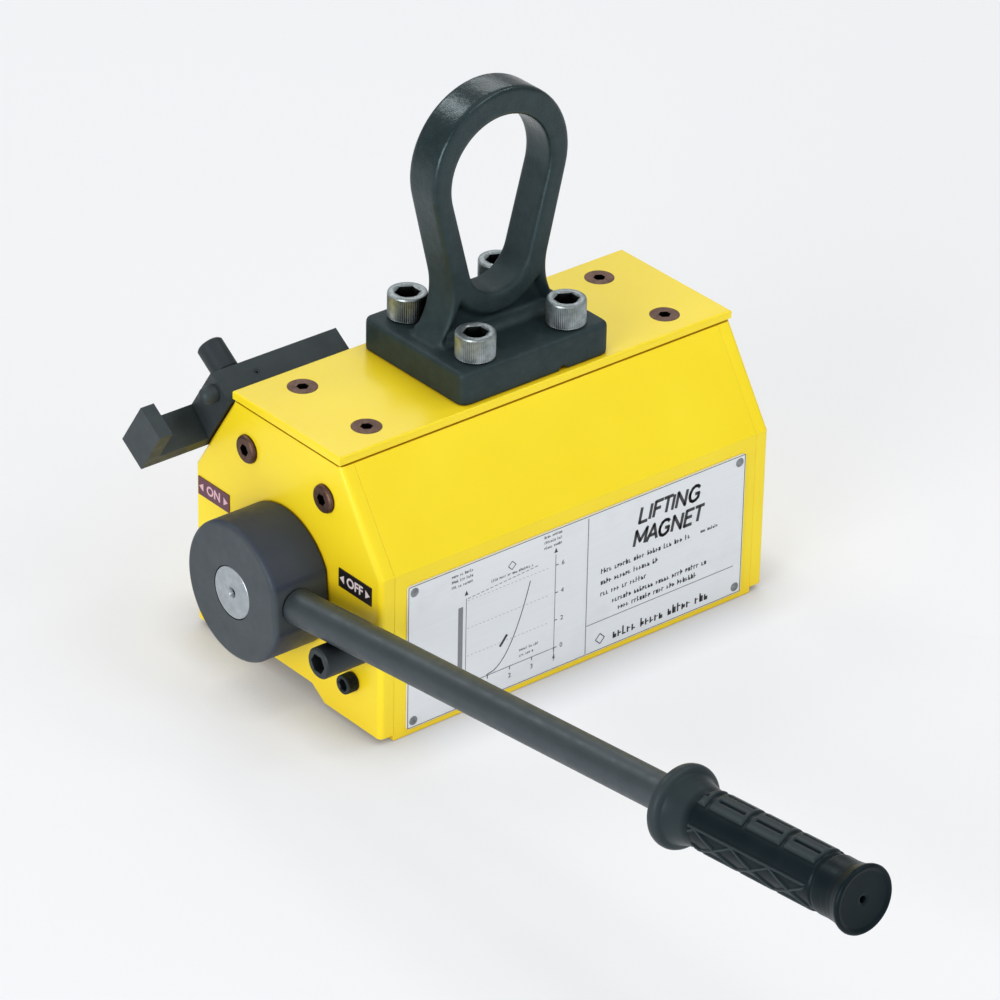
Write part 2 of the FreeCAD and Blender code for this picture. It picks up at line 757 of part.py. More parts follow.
def rotor_side_strips():
    """Brass strips that close the magnet slot at the rotor's skin."""
    skin = rotor_round(rotor_radius, -rotor_core_half_length, rotor_core_half_length)
    strips = skin.common(rotor_slab(rotor_slot_half_width, rotor_radius + 10, half_length))
    strips = strips.cut(rotor_slab(rotor_slot_half_width + 1, rotor_magnet_reach, half_length))
    return group([in_rotor(solid) for solid in strips.Solids])


def flange(end):
    """Non-magnetic end disc, countersunk for the screws that hold it to the cores."""
    inner = end * rotor_core_half_length
    outer = inner + end * flange_thickness
    disc = rotor_round(flange_radius, min(inner, outer), max(inner, outer))
    for spot in flange_screw_spots(outer):
        disc = disc.cut(countersink_for(6, flange_screw_head, spot, vec(0, -end, 0), 2 * flange_thickness))
    return in_rotor(disc)


def flange_screws(end):
    inward = vec(0, -end, 0)
    screws = []
    for spot in flange_screw_spots(end * (rotor_core_half_length + flange_thickness)):
        screws.append(in_rotor(flat_screw(6, flange_screw_head, flange_screw_length, spot, inward)))
    return group(screws)


def key_box(depth, rise):
    """Space of the key that stands in the shaft's top, from depth below to rise above its skin."""
    low = (-key_half_width, hub_front + 4, rotor_axis_height + shaft_radius - depth)
    high = (key_half_width, hub_back - 3, rotor_axis_height + shaft_radius + rise)
    return box(low, high)


def drive_shaft():
    """Front disc and shaft in one piece; the shaft carries the hub and ends flush with it."""
    disc = flange(-1)
    shaft = rotor_round(shaft_radius, hub_front, -rotor_core_half_length - flange_thickness / 2)
    edge = [item for item in shaft.Edges if item.BoundBox.YMax < hub_front + 0.01]
    shaft = shaft.makeChamfer(0.6, edge)
    centre_drill = turned([(0, 0.1), (2.6, 0.1), (1.4, -1.6), (1.4, -5), (0, -6)])
    shaft = shaft.cut(placed(centre_drill, vec(0, hub_front, rotor_axis_height), BACK))
    return disc.fuse(shaft.cut(key_box(key_depth, 5))).removeSplitter()


def rear_journal():
    """Rear disc with the short journal that runs in the blind bush."""
    journal = rotor_round(shaft_radius, rotor_core_half_length + flange_thickness / 2,
                          pole_end + rear_pocket_depth - journal_end_room)
    return flange(1).fuse(journal).removeSplitter()


# ---------------------------------------------------------------- hub and lever
def hub():
    """Thick round hub with one flat, into which the lever is screwed."""
    disc = rotor_round(hub_radius, hub_front, hub_back)
    flat_corner = lever_root + off_direction * hub_flat_distance
    sideways = vec(-off_direction.z, 0, off_direction.x)
    near = [flat_corner + sideways * hub_radius, flat_corner - sideways * hub_radius]
    far = [corner + off_direction * hub_radius for corner in reversed(near)]
    beyond_flat = bar_along_y([(corner.x, corner.z) for corner in near + far], hub_front - 1, hub_back + 1)
    disc = disc.cut(beyond_flat)
    front_rim = [edge for edge in disc.Edges if edge.BoundBox.YMax < hub_front + 0.01]
    disc = disc.makeFillet(hub_edge_round, front_rim)
    disc = disc.cut(rotor_round(shaft_radius + 0.02, hub_front - 1, hub_back + 1))
    disc = disc.cut(key_box(1.0, 3.3))
    disc = disc.cut(hole_for(rod_neck_radius, lever_root, off_direction, 40))
    return disc.cut(hole_for(set_screw_radius, lever_root, off_direction * -1, 40))


def hub_key():
    return key_box(key_depth - 0.1, 3.0)


def hub_set_screw():
    """Grub screw opposite the lever that bears on the shaft."""
    top = lever_root - off_direction * (hub_radius - set_screw_sink)
    length = hub_radius - set_screw_sink - shaft_radius - 0.2
    tip_start = set_screw_sink - length
    profile = [(0, 0), (set_screw_radius, 0), (set_screw_radius, tip_start), (2.5, -length), (0, -length)]
    return placed(turned(profile).cut(hex_socket(4.0, 4.0)), top, off_direction)


def lever_rod():
    """Straight round bar with a screwed neck in the hub and a plain end inside the grip."""
    neck_start = shaft_radius + 0.5
    shoulder = hub_flat_distance + 0.1
    end = grip_end - grip_end_wall - 0.5
    profile = [(0, neck_start), (rod_neck_radius - 1, neck_start), (rod_neck_radius, neck_start + 1),
               (rod_neck_radius, shoulder), (rod_radius - 0.8, shoulder), (rod_radius, shoulder + 0.8),
               (rod_radius, end - 1), (rod_radius - 1, end), (0, end)]
    return placed(turned(profile), lever_root, off_direction * -1)


def grip():
    """Moulded grip: dished guard, straight barrel, flared end with a small vent hole."""
    bore = rod_radius + hole_clearance
    guard = [(15.5, 0), (17.4, 1.0), (18.0, 2.6), (17.6, 4.4), (16.6, 6.0), (14.6, 9.0), (13.2, 12.5),
             (12.5, 17.0), (12.3, 22.0)]
    tail = [(12.3, 22.0), (11.6, 21.0), (11.6, 19.5), (12.6, 18.5), (12.6, 12.0), (13.2, 7.0), (14.6, 3.2),
            (15.2, 1.6), (15.0, 0.4), (14.2, 0)]
    outline = [(bore, grip_start)]
    outline += [(radius, grip_start + distance) for radius, distance in guard]
    outline += [(radius, grip_end - distance) for radius, distance in tail]
    outline += [(grip_vent_radius, grip_end), (grip_vent_radius, grip_end - grip_end_wall),
                (bore, grip_end - grip_end_wall)]
    return placed(turned(outline), lever_root, off_direction * -1)


# ---------------------------------------------------------------- every sub-part and its file
def all_parts():
    return {
        "pole_left": pole_with_bar_holes(),
        "pole_right": pole_with_rivet_holes(),
        "pole_spacer": between_poles(spacer_half_width, relief_height, rotor_axis_height),
        "bore_strip": between_poles(magnet_half_width, rotor_axis_height + 20, fixed_magnet_bottom),
        "fixed_magnets": fixed_magnets(),
        "top_filler": between_poles(magnet_half_width, fixed_magnet_top, crown_height),
        "top_plate": top_plate(),
        "top_plate_screws": top_plate_screws(),
        "front_plate": front_plate(),
        "rear_plate": rear_plate(),
        "front_plate_screws": plate_screws(-1),
        "rear_plate_screws": plate_screws(1),
        "front_cap_screws": low_screws(-1),
        "rear_cap_screws": low_screws(1),
        "front_bush": bush(-1, end_plate_thickness),
        "rear_bush": bush(1, rear_pocket_depth),
        "lifting_eye": lifting_eye(),
        "eye_screws": eye_screws(),
        "name_plate": name_plate(),
        "name_plate_rivets": name_plate_rivets(),
        "on_label": state_label(on_label_x),
        "off_label": state_label(off_label_x),
        "stop_post": stop_post(),
        "lock_bar": lock_bar(),
        "lock_bar_screws": lock_bar_screws(),
        "detent_screw": detent_screw(),
        "lock_pin": lock_pin(),
        "lock_knob": lock_knob(),
        "lock_spring": lock_spring(),
        "rotor_core_right": rotor_core(1),
        "rotor_core_left": rotor_core(-1),
        "rotor_magnets": rotor_magnets(),
        "rotor_side_strips": rotor_side_strips(),
        "drive_shaft": drive_shaft(),
        "rear_journal": rear_journal(),
        "front_flange_screws": flange_screws(-1),
        "rear_flange_screws": flange_screws(1),
        "hub": hub(),
        "hub_key": hub_key(),
        "hub_set_screw": hub_set_screw(),
        "lever_rod": lever_rod(),
        "grip": grip(),
    }


os.makedirs("parts", exist_ok=True)
for name, shape in all_parts().items():
    shape.exportStep("parts/" + name + ".step")
    print(name, len(shape.Solids), "solids, valid", shape.isValid(), "volume", round(shape.Volume, 1))
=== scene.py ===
import json
import math
import random

import bmesh
import bpy
import numpy as np
from mathutils import Matrix, Vector


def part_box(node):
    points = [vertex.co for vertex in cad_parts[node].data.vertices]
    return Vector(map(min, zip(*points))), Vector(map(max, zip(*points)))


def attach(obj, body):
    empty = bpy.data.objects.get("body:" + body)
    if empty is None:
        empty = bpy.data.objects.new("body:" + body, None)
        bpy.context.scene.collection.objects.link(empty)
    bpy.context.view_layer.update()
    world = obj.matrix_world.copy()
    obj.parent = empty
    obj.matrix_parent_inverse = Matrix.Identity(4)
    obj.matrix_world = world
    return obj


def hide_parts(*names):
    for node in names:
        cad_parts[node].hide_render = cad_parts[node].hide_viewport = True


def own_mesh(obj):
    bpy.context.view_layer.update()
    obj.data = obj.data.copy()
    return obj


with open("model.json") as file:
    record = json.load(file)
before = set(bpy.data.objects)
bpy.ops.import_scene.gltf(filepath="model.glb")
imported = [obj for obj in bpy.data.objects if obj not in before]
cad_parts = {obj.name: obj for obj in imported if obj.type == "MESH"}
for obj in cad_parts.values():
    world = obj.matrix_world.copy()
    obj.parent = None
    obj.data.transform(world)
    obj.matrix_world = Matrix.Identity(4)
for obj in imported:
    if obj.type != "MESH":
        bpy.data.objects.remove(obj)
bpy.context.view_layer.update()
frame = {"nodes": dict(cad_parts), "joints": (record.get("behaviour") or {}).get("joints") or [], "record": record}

# Switchable permanent lifting magnet. Metres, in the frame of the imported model: +Z up to the eye,
# +X towards the side that the lever lies on when off, -Y towards the hub.
nodes = frame["nodes"]
joints = {joint["name"]: joint for joint in frame["joints"]}
slot_of = {part["node"]: part["material_slot"] for part in frame["record"]["subparts"]}
body_of = {node: body for body, members in frame["record"]["behaviour"]["bodies"].items() for node in members}
MM = 0.001

# ---------------------------------------------------------------- driving values
camera_azimuth = 50.11
camera_elevation = 29.78
camera_roll = 1.14
camera_distance = 2.3766
camera_lens = 195.0
camera_aim = Vector((0.0267, -0.0126, 0.0707))

# Width of the rounding on each node's sharp edges, in millimetres.
edge_softening = {
    "top_plate": 0.6, "pole_left": 0.7, "pole_right": 0.7, "front_plate": 0.5, "rear_plate": 0.5,
    "name_plate": 0.15, "lock_bar": 0.4, "stop_post": 0.3, "hub": 0.4, "lock_pin": 0.2,
    "on_label": 0.1, "off_label": 0.1,
}
flat_within_degrees = 0.4
bevel_above_degrees = 28
smooth_below_degrees = 34

eye_voxel = 0.7 * MM
eye_smoothing_rounds = 6
eye_pocket_depth = 3.6 * MM
eye_bead_width = 9.0 * MM
eye_leg_rim = 6.0 * MM
eye_foot_thickness = 15.5 * MM
eye_bead_rise = 49.5 * MM
eye_bead_inner_radius = 17.0 * MM
eye_leg_foot_height = 145.5 * MM
eye_leg_top_height = 175.0 * MM
eye_web_top_height = 178.0 * MM
# These two are in millimetres.
eye_leg_half_width = 39.5
eye_leg_narrowing = 12.5

knurl_ridges = 60
knurl_depth = 0.35 * MM

grip_steps_round = 216
grip_row_pitch = 0.4 * MM
grip_module = 21.7 * MM
grip_pattern_start = 18.5 * MM
grip_pattern_end = 88.4 * MM
grip_pad_height = 1.0 * MM
grip_rib_height = 0.85 * MM


# ---------------------------------------------------------------- node trees
def add_node(tree, kind, inputs=None, **settings):
    """One shader node; each input is given a value, or a socket to be joined to."""
    node = tree.nodes.new(kind)
    for name, value in settings.items():
        setattr(node, name, value)
    for name, value in (inputs or {}).items():
        if isinstance(value, bpy.types.NodeSocket):
            tree.links.new(value, node.inputs[name])
        else:
            node.inputs[name].default_value = value
    return node


def start_material(name, **shader_values):
    """New material: returns it with its tree, its principled shader and its object coordinates."""
    material = bpy.data.materials.new(name)
    material.use_nodes = True
    tree = material.node_tree
    shader = tree.nodes["Principled BSDF"]
    for key, value in shader_values.items():
        shader.inputs[key.replace("_", " ")].default_value = value
    place = add_node(tree, "ShaderNodeTexCoord").outputs["Object"]
    return material, tree, shader, place


def rgba(colour):
    return (colour[0], colour[1], colour[2], 1.0)


def stretched(tree, place, stretch):
    """Coordinates scaled differently along each axis, for grain with a direction."""
    return add_node(tree, "ShaderNodeMapping", {"Vector": place, "Scale": stretch}).outputs["Vector"]


def noise(tree, place, scale, detail=3.0, roughness=0.5):
    inputs = {"Vector": place, "Scale": scale, "Detail": detail, "Roughness": roughness}
    return add_node(tree, "ShaderNodeTexNoise", inputs).outputs["Fac"]


def spread(tree, value, low, high, new_low=0.0, new_high=1.0):
    """Map low..high to new_low..new_high, clamped."""
    inputs = {"Value": value, "From Min": low, "From Max": high, "To Min": new_low, "To Max": new_high}
    return add_node(tree, "ShaderNodeMapRange", inputs).outputs["Result"]


def mixed(tree, factor, first, second):
    """Mix of two colours, each a triple or a socket."""
    node = add_node(tree, "ShaderNodeMix", {0: factor}, data_type="RGBA")
    for index, colour in ((6, first), (7, second)):
        if isinstance(colour, bpy.types.NodeSocket):
            tree.links.new(colour, node.inputs[index])
        else:
            node.inputs[index].default_value = rgba(colour)
    return node.outputs[2]


def blended(tree, factor, first, second):
    """Mix of two numbers, each a value or a socket."""
    return add_node(tree, "ShaderNodeMix", {0: factor, 2: first, 3: second}, data_type="FLOAT").outputs[0]


def maths(tree, operation, first, second=0.0):
    return add_node(tree, "ShaderNodeMath", {0: first, 1: second}, operation=operation).outputs["Value"]


def vector_maths(tree, operation, first, second=(0.0, 0.0, 0.0)):
    """Outputs of one vector operation, which gives either "Vector" or "Value"."""
    return add_node(tree, "ShaderNodeVectorMath", {0: first, 1: second}, operation=operation).outputs


def bump(tree, height, depth, below=None):
    """Bump of a given depth in metres, laid over another one."""
    inputs = {"Height": height, "Strength": 1.0, "Distance": depth}
    if below is not None:
        inputs["Normal"] = below
    return add_node(tree, "ShaderNodeBump", inputs).outputs["Normal"]


def crevice(tree, reach):
    """0 in the open, rising to 1 in corners narrower than reach."""
    shade = add_node(tree, "ShaderNodeAmbientOcclusion", {"Distance": reach}, samples=8).outputs["AO"]
    return maths(tree, "SUBTRACT", 1.0, shade)


def join(tree, shader, **sockets):
    for name, socket in sockets.items():
        tree.links.new(socket, shader.inputs[name.replace("_", " ")])


# ---------------------------------------------------------------- materials
def yellow_paint():
    """Powder coat: faint orange peel, painted shade in the seams and a broader, warmer painted shade in sheltered
    places, bare ground steel under the feet.
    """
    material, tree, shader, place = start_material("yellow_powder_coat", Coat_Weight=0.12,
                                                   Coat_Roughness=0.14, Specular_IOR_Level=0.32)
    patches = spread(tree, noise(tree, place, 18.0, 2.0), 0.3, 0.7)
    paint = mixed(tree, patches, (0.90, 0.69, 0.010), (0.94, 0.74, 0.018))
    specks = spread(tree, noise(tree, place, 2600.0, 1.0), 0.70, 0.78)
    paint = mixed(tree, maths(tree, "MULTIPLY", specks, 0.25), paint, (0.98, 0.80, 0.10))
    # Painted shade: a broad, warmer and darker tone where nearby parts shelter the surface.
    painted_broad_shade = spread(tree, crevice(tree, 40 * MM), 0.12, 0.70, 0.0, 0.45)
    paint = mixed(tree, painted_broad_shade, paint, (0.90, 0.53, 0.004))
    # Painted shade: a dark orange line in the seams and narrow corners between parts.
    painted_seam_shade = spread(tree, crevice(tree, 3 * MM), 0.25, 0.9)
    paint = mixed(tree, painted_seam_shade, paint, (0.50, 0.25, 0.002))
    height = add_node(tree, "ShaderNodeSeparateXYZ", {0: place}).outputs["Z"]
    under = spread(tree, height, 0.15 * MM, 0.35 * MM, 1.0, 0.0)
    grinding = noise(tree, stretched(tree, place, (2600.0, 40.0, 40.0)), 1.0, 3.0)
    steel = mixed(tree, grinding, (0.32, 0.32, 0.33), (0.52, 0.52, 0.53))
    mottle = spread(tree, noise(tree, place, 420.0, 2.0), 0.3, 0.7, 0.33, 0.42)
    peel = noise(tree, place, 750.0, 1.5, 0.4)
    join(tree, shader, Base_Color=mixed(tree, under, paint, steel), Metallic=under,
         Roughness=blended(tree, under, mottle, 0.34), Normal=bump(tree, peel, 0.035 * MM))
    return material


def dark_forging():
    """Painted forging: a slightly scaly skin, duller at the foot and rubbed glossy towards the crown."""
    material, tree, shader, place = start_material("forged_dark_paint", Specular_IOR_Level=0.46,
                                                   Specular_Tint=(0.74, 0.94, 1.0, 1.0))
    skin = noise(tree, place, 160.0, 5.0, 0.6)
    colour = mixed(tree, spread(tree, skin, 0.3, 0.7), (0.006, 0.014, 0.016), (0.014, 0.026, 0.028))
    # Lighter edges from pointiness: partly paint worn off the edges, partly a painted highlight along them.
    ridge = add_node(tree, "ShaderNodeNewGeometry").outputs["Pointiness"]
    worn_and_highlit_edges = maths(tree, "MULTIPLY", spread(tree, ridge, 0.54, 0.66), spread(tree, skin, 0.35, 0.6, 0.2, 0.8))
    colour = mixed(tree, worn_and_highlit_edges, colour, (0.050, 0.066, 0.070))
    grain = noise(tree, place, 1300.0, 3.0, 0.6)
    height = add_node(tree, "ShaderNodeSeparateXYZ", {0: place}).outputs["Z"]
    rubbed = spread(tree, height, 175 * MM, 235 * MM)
    rough = maths(tree, "ADD", spread(tree, grain, 0.3, 0.7, 0.0, 0.10), blended(tree, rubbed, 0.52, 0.22))
    coarse = bump(tree, skin, 0.30 * MM)
    join(tree, shader, Base_Color=colour, Roughness=rough, Normal=bump(tree, grain, 0.03 * MM, coarse))
    return material


def blued_steel(name, marks, colours=((0.024, 0.031, 0.033), (0.036, 0.045, 0.047)), gloss=0.34,
                shaded_rim_radius=None):
    """Blued and oiled steel; marks builds the machining marks, the side near shaded_rim_radius gets a darker,
    bluer painted shade, and recesses get painted shade.
    """
    material, tree, shader, place = start_material(name, Specular_IOR_Level=gloss,
                                                   Specular_Tint=(0.74, 0.90, 1.0, 1.0))
    cloud = spread(tree, noise(tree, place, 70.0, 4.0, 0.6), 0.3, 0.7)
    lines = marks(tree, place)
    colour = mixed(tree, cloud, colours[0], colours[1])
    colour = mixed(tree, maths(tree, "MULTIPLY", lines, 0.2), colour, (0.080, 0.092, 0.098))
    # Painted shade: the turned side near the given radius is painted darker and bluer.
    if shaded_rim_radius:
        rim = spread(tree, lathe_radius(tree, place), shaded_rim_radius - 1.2 * MM, shaded_rim_radius - 0.2 * MM)
        colour = mixed(tree, rim, colour, (0.035, 0.042, 0.064))
    # Painted shade: corners and recesses up to 10 mm wide are painted nearly black.
    painted_recess_shade = spread(tree, crevice(tree, 10 * MM), 0.38, 0.70)
    colour = mixed(tree, painted_recess_shade, colour, (0.004, 0.005, 0.006))
    rough = spread(tree, noise(tree, place, 240.0, 3.0), 0.3, 0.7, 0.42, 0.54)
    join(tree, shader, Base_Color=colour, Roughness=rough, Normal=bump(tree, lines, 0.012 * MM))
    return material


def ground_marks(along):
    """Straight grinding marks that run along one axis."""
    def marks(tree, place):
        stretch = [1500.0, 1500.0, 1500.0]
        stretch[along] = 30.0
        return noise(tree, stretched(tree, place, stretch), 1.0, 3.0, 0.6)
    return marks


def lathe_radius(tree, place):
    """Distance from the rotor's axis."""
    axis = Vector(joints["lever_turn"]["pos_m"])
    moved = vector_maths(tree, "SUBTRACT", place, axis)["Vector"]
    flat = vector_maths(tree, "MULTIPLY", moved, (1.0, 0.0, 1.0))["Vector"]
    return vector_maths(tree, "LENGTH", flat)["Value"]


def turning_marks(tree, place):
    """Fine rings left by the lathe around the rotor's axis."""
    inputs = {"W": lathe_radius(tree, place), "Scale": 3200.0, "Detail": 3.0}
    return add_node(tree, "ShaderNodeTexNoise", inputs, noise_dimensions="1D").outputs["Fac"]


def plated_metal(name, light, dark, roughness, shade_reach=6.0, marks=None):
    """Metallic finish with patchy tone, and painted shade in recesses up to shade_reach millimetres wide."""
    material, tree, shader, place = start_material(name, Metallic=0.9)
    patch = spread(tree, noise(tree, place, 320.0, 3.0, 0.6), 0.35, 0.65)
    colour = mixed(tree, patch, dark, light)
    # Painted shade: recesses narrower than the reach are painted nearly black.
    shade_in_recesses = spread(tree, crevice(tree, shade_reach * MM), 0.32, 0.56)
    colour = mixed(tree, shade_in_recesses, colour, tuple(0.05 * value for value in dark))
    fine = marks(tree, place) if marks else noise(tree, place, 900.0, 3.0, 0.6)
    rough = spread(tree, fine, 0.3, 0.7, roughness - 0.05, roughness + 0.08)
    join(tree, shader, Base_Color=colour, Roughness=rough, Normal=bump(tree, fine, 0.012 * MM))
    return material


def plate_aluminium():
    """Satin anodised sheet, brushed along its length."""
    material, tree, shader, place = start_material("anodised_sheet", Metallic=0.25)
    brushed = noise(tree, stretched(tree, place, (40.0, 25.0, 2400.0)), 1.0, 4.0, 0.6)
    colour = mixed(tree, brushed, (0.69, 0.72, 0.75), (0.78, 0.81, 0.84))
    grime = spread(tree, noise(tree, place, 35.0, 4.0, 0.6), 0.55, 0.8, 0.0, 0.25)
    colour = mixed(tree, grime, colour, (0.50, 0.51, 0.52))
    rough = spread(tree, brushed, 0.3, 0.7, 0.38, 0.5)
    join(tree, shader, Base_Color=colour, Roughness=rough, Normal=bump(tree, brushed, 0.006 * MM))
    return material


def lever_axis():
    """Start of the lever's axis at the rotor's, and its direction."""
    root = Vector(joints["lever_turn"]["pos_m"])
    low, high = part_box("grip")
    middle = (low + high) / 2
    root.y = middle.y
    return root, (middle - root).normalized()


def grip_rubber():
    """Moulded rubber: nearly black in its hollows; the raised pattern is greyer, partly rub wear and partly
    painted highlight, and the guard rim and ridge edges get painted highlights.
    """
    material, tree, shader, place = start_material("moulded_rubber", Specular_IOR_Level=0.12,
                                                   Specular_Tint=(0.75, 0.95, 1.0, 1.0))
    root, direction = lever_axis()
    low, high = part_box("grip")
    from_root = vector_maths(tree, "SUBTRACT", place, root)["Vector"]
    across = vector_maths(tree, "CROSS_PRODUCT", from_root, direction)["Vector"]
    radius = vector_maths(tree, "LENGTH", across)["Value"]
    far_end = max((corner - root).dot(direction) for corner in (low, high))
    pattern_stop = far_end - 24 * MM
    run = vector_maths(tree, "DOT_PRODUCT", from_root, direction)["Value"]
    before_sleeve = spread(tree, run, pattern_stop, pattern_stop + 3 * MM, 1.0, 0.0)
    # Raised pattern painted greyer: partly rub wear, partly a painted highlight.
    raised = spread(tree, radius, 12.05 * MM, 12.75 * MM)
    cloud = spread(tree, noise(tree, place, 60.0, 4.0, 0.6), 0.3, 0.7)
    colour = mixed(tree, cloud, (0.003, 0.007, 0.009), (0.006, 0.012, 0.015))
    bloom_and_highlight = maths(tree, "MULTIPLY", raised, before_sleeve)
    colour = mixed(tree, maths(tree, "MULTIPLY", bloom_and_highlight, 0.85), colour, (0.026, 0.036, 0.040))
    # Painted highlight: the guard's rim is painted lighter.
    guard = spread(tree, radius, 15.5 * MM, 17.5 * MM)
    colour = mixed(tree, guard, colour, (0.034, 0.044, 0.049))
    # Painted highlight: sharp ridge edges are painted lighter.
    ridge = add_node(tree, "ShaderNodeNewGeometry").outputs["Pointiness"]
    edges = maths(tree, "MULTIPLY", spread(tree, ridge, 0.515, 0.58, 0.0, 0.7), before_sleeve)
    colour = mixed(tree, edges, colour, (0.050, 0.064, 0.069))
    grain = noise(tree, place, 2200.0, 2.0, 0.6)
    rough = spread(tree, grain, 0.3, 0.7, 0.30, 0.42)
    join(tree, shader, Base_Color=colour, Roughness=rough, Normal=bump(tree, grain, 0.025 * MM))
    return material


def printed(name, colour, roughness):
    """Thin layer of print or film with a slightly uneven tone."""
    material, tree, shader, place = start_material(name)
    tone = noise(tree, place, 900.0, 2.0)
    deeper = tuple(0.75 * value for value in colour)
    rough = spread(tree, tone, 0.3, 0.7, roughness - 0.05, roughness + 0.05)
    join(tree, shader, Base_Color=mixed(tree, tone, deeper, colour), Roughness=rough)
    return material


materials = {
    "yellow_paint": yellow_paint(),
    "dark_forging": dark_forging(),
    "black_oxide": blued_steel("blued_steel", ground_marks(1)),
    "brown_screw": plated_metal("phosphated_steel", (0.17, 0.10, 0.075), (0.10, 0.055, 0.04), 0.45, 12.0),
    "zinc_screw": plated_metal("zinc_plate", (0.36, 0.40, 0.41), (0.23, 0.27, 0.28), 0.40, 14.0),
    "bare_steel": plated_metal("turned_stainless", (0.44, 0.48, 0.51), (0.36, 0.40, 0.43), 0.34,
                               marks=turning_marks),
    "soft_iron": plated_metal("soft_iron", (0.38, 0.38, 0.39), (0.28, 0.28, 0.29), 0.45),
    "magnet_block": plated_metal("nickel_plate", (0.60, 0.59, 0.56), (0.50, 0.49, 0.47), 0.28),
    "brass_strip": plated_metal("machined_brass", (0.72, 0.55, 0.25), (0.58, 0.43, 0.18), 0.32),
    "bearing_bronze": plated_metal("sintered_bronze", (0.55, 0.36, 0.18), (0.40, 0.25, 0.12), 0.5),
    "plate_aluminium": plate_aluminium(),
    "label_film": printed("label_film", (0.012, 0.008, 0.010), 0.35),
    "grip_rubber": grip_rubber(),
    "spring_steel": plated_metal("spring_wire", (0.50, 0.50, 0.50), (0.38, 0.38, 0.38), 0.35),
}
hub_radius = (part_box("hub")[1].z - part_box("hub")[0].z) / 2
hub_finish = blued_steel("blued_steel_turned", turning_marks, ((0.044, 0.053, 0.060), (0.056, 0.067, 0.075)),
                         0.26, hub_radius)
rod_finish = blued_steel("blued_steel_drawn", ground_marks(0), ((0.014, 0.019, 0.022), (0.022, 0.029, 0.033)),
                         0.78)
rivet_finish = plated_metal("aged_rivet", (0.30, 0.32, 0.34), (0.16, 0.18, 0.19), 0.5)
ink = printed("printing_ink", (0.030, 0.032, 0.036), 0.5)
pale_ink = printed("pale_ink", (0.85, 0.74, 0.74), 0.5)
screw_black = blued_steel("black_screw", ground_marks(1), ((0.006, 0.008, 0.010), (0.012, 0.015, 0.017)))
rose_ink = printed("rose_ink", (0.80, 0.50, 0.56), 0.5)
maroon_film = printed("maroon_film", (0.115, 0.022, 0.050), 0.35)
post_finish = blued_steel("post_steel", ground_marks(1), ((0.010, 0.013, 0.015), (0.018, 0.022, 0.024)))
faint_ink = printed("grey_ink", (0.22, 0.23, 0.25), 0.5)

# Nodes that differ from the finish of their slot.
own_finish = {
    "hub": hub_finish, "lock_knob": post_finish, "lever_rod": rod_finish,
    "name_plate_rivets": rivet_finish, "on_label": maroon_film, "stop_post": post_finish,
}


def finish_of(node):
    return own_finish.get(node, materials[slot_of[node]])


for name, node in nodes.items():
    node.data.materials.clear()
    node.data.materials.append(finish_of(name))


# ---------------------------------------------------------------- pieces
def add_piece(name, mesh, material, body, replaced=()):
    """Put a mesh in the scene, give it its finish and let it ride on a CAD body."""
    piece = bpy.data.objects.new(name, mesh)
    bpy.context.scene.collection.objects.link(piece)
    mesh.materials.clear()
    mesh.materials.append(material)
    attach(piece, body)
    if replaced:
        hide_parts(*replaced)
    return piece


def shade_by_angle(mesh, degrees):
    mesh.shade_smooth()
    mesh.set_sharp_from_angle(angle=math.radians(degrees))


def mesh_from(name, points, faces):
    mesh = bpy.data.meshes.new(name)
    mesh.from_pydata([tuple(point) for point in points], [], faces)
    mesh.validate()
    mesh.update()
    return mesh


def corners_of(mesh):
    flat = np.zeros(len(mesh.vertices) * 3)
    mesh.vertices.foreach_get("co", flat)
    return flat.reshape(-1, 3)


def welded_copy(node):
    """Mesh of a CAD node with its facets welded and its flat faces made whole."""
    work = bmesh.new()
    work.from_mesh(nodes[node].data)
    bmesh.ops.remove_doubles(work, verts=work.verts, dist=1e-6)
    bmesh.ops.dissolve_limit(work, angle_limit=math.radians(flat_within_degrees), verts=work.verts,
                             edges=work.edges)
    return work


def softened(node, width):
    """Stand-in for a CAD node whose sharp edges are rounded by a small bevel."""
    work = welded_copy(node)
    sharp = [edge for edge in work.edges
             if edge.is_manifold and edge.calc_face_angle(0) > math.radians(bevel_above_degrees)]
    bmesh.ops.bevel(work, geom=sharp, offset=width * MM, offset_type="OFFSET", segments=3,
                    profile=0.5, affect="EDGES", clamp_overlap=True)
    mesh = bpy.data.meshes.new(node + "_body")
    work.to_mesh(mesh)
    work.free()
    shade_by_angle(mesh, smooth_below_degrees)
    piece = add_piece(node + "_soft", mesh, finish_of(node), body_of[node], [node])
    piece.modifiers.new("flat_faces", "WEIGHTED_NORMAL").keep_sharp = True
    return piece


def applied(piece):
    """Bake a piece's modifiers into its mesh."""
    depsgraph = bpy.context.evaluated_depsgraph_get()
    baked = bpy.data.meshes.new_from_object(piece.evaluated_get(depsgraph))
    piece.modifiers.clear()
    old = piece.data
    piece.data = baked
    bpy.data.meshes.remove(old)
    return piece


def smooth_step(value):
    value = np.clip(value, 0.0, 1.0)
    return value * value * (3 - 2 * value)


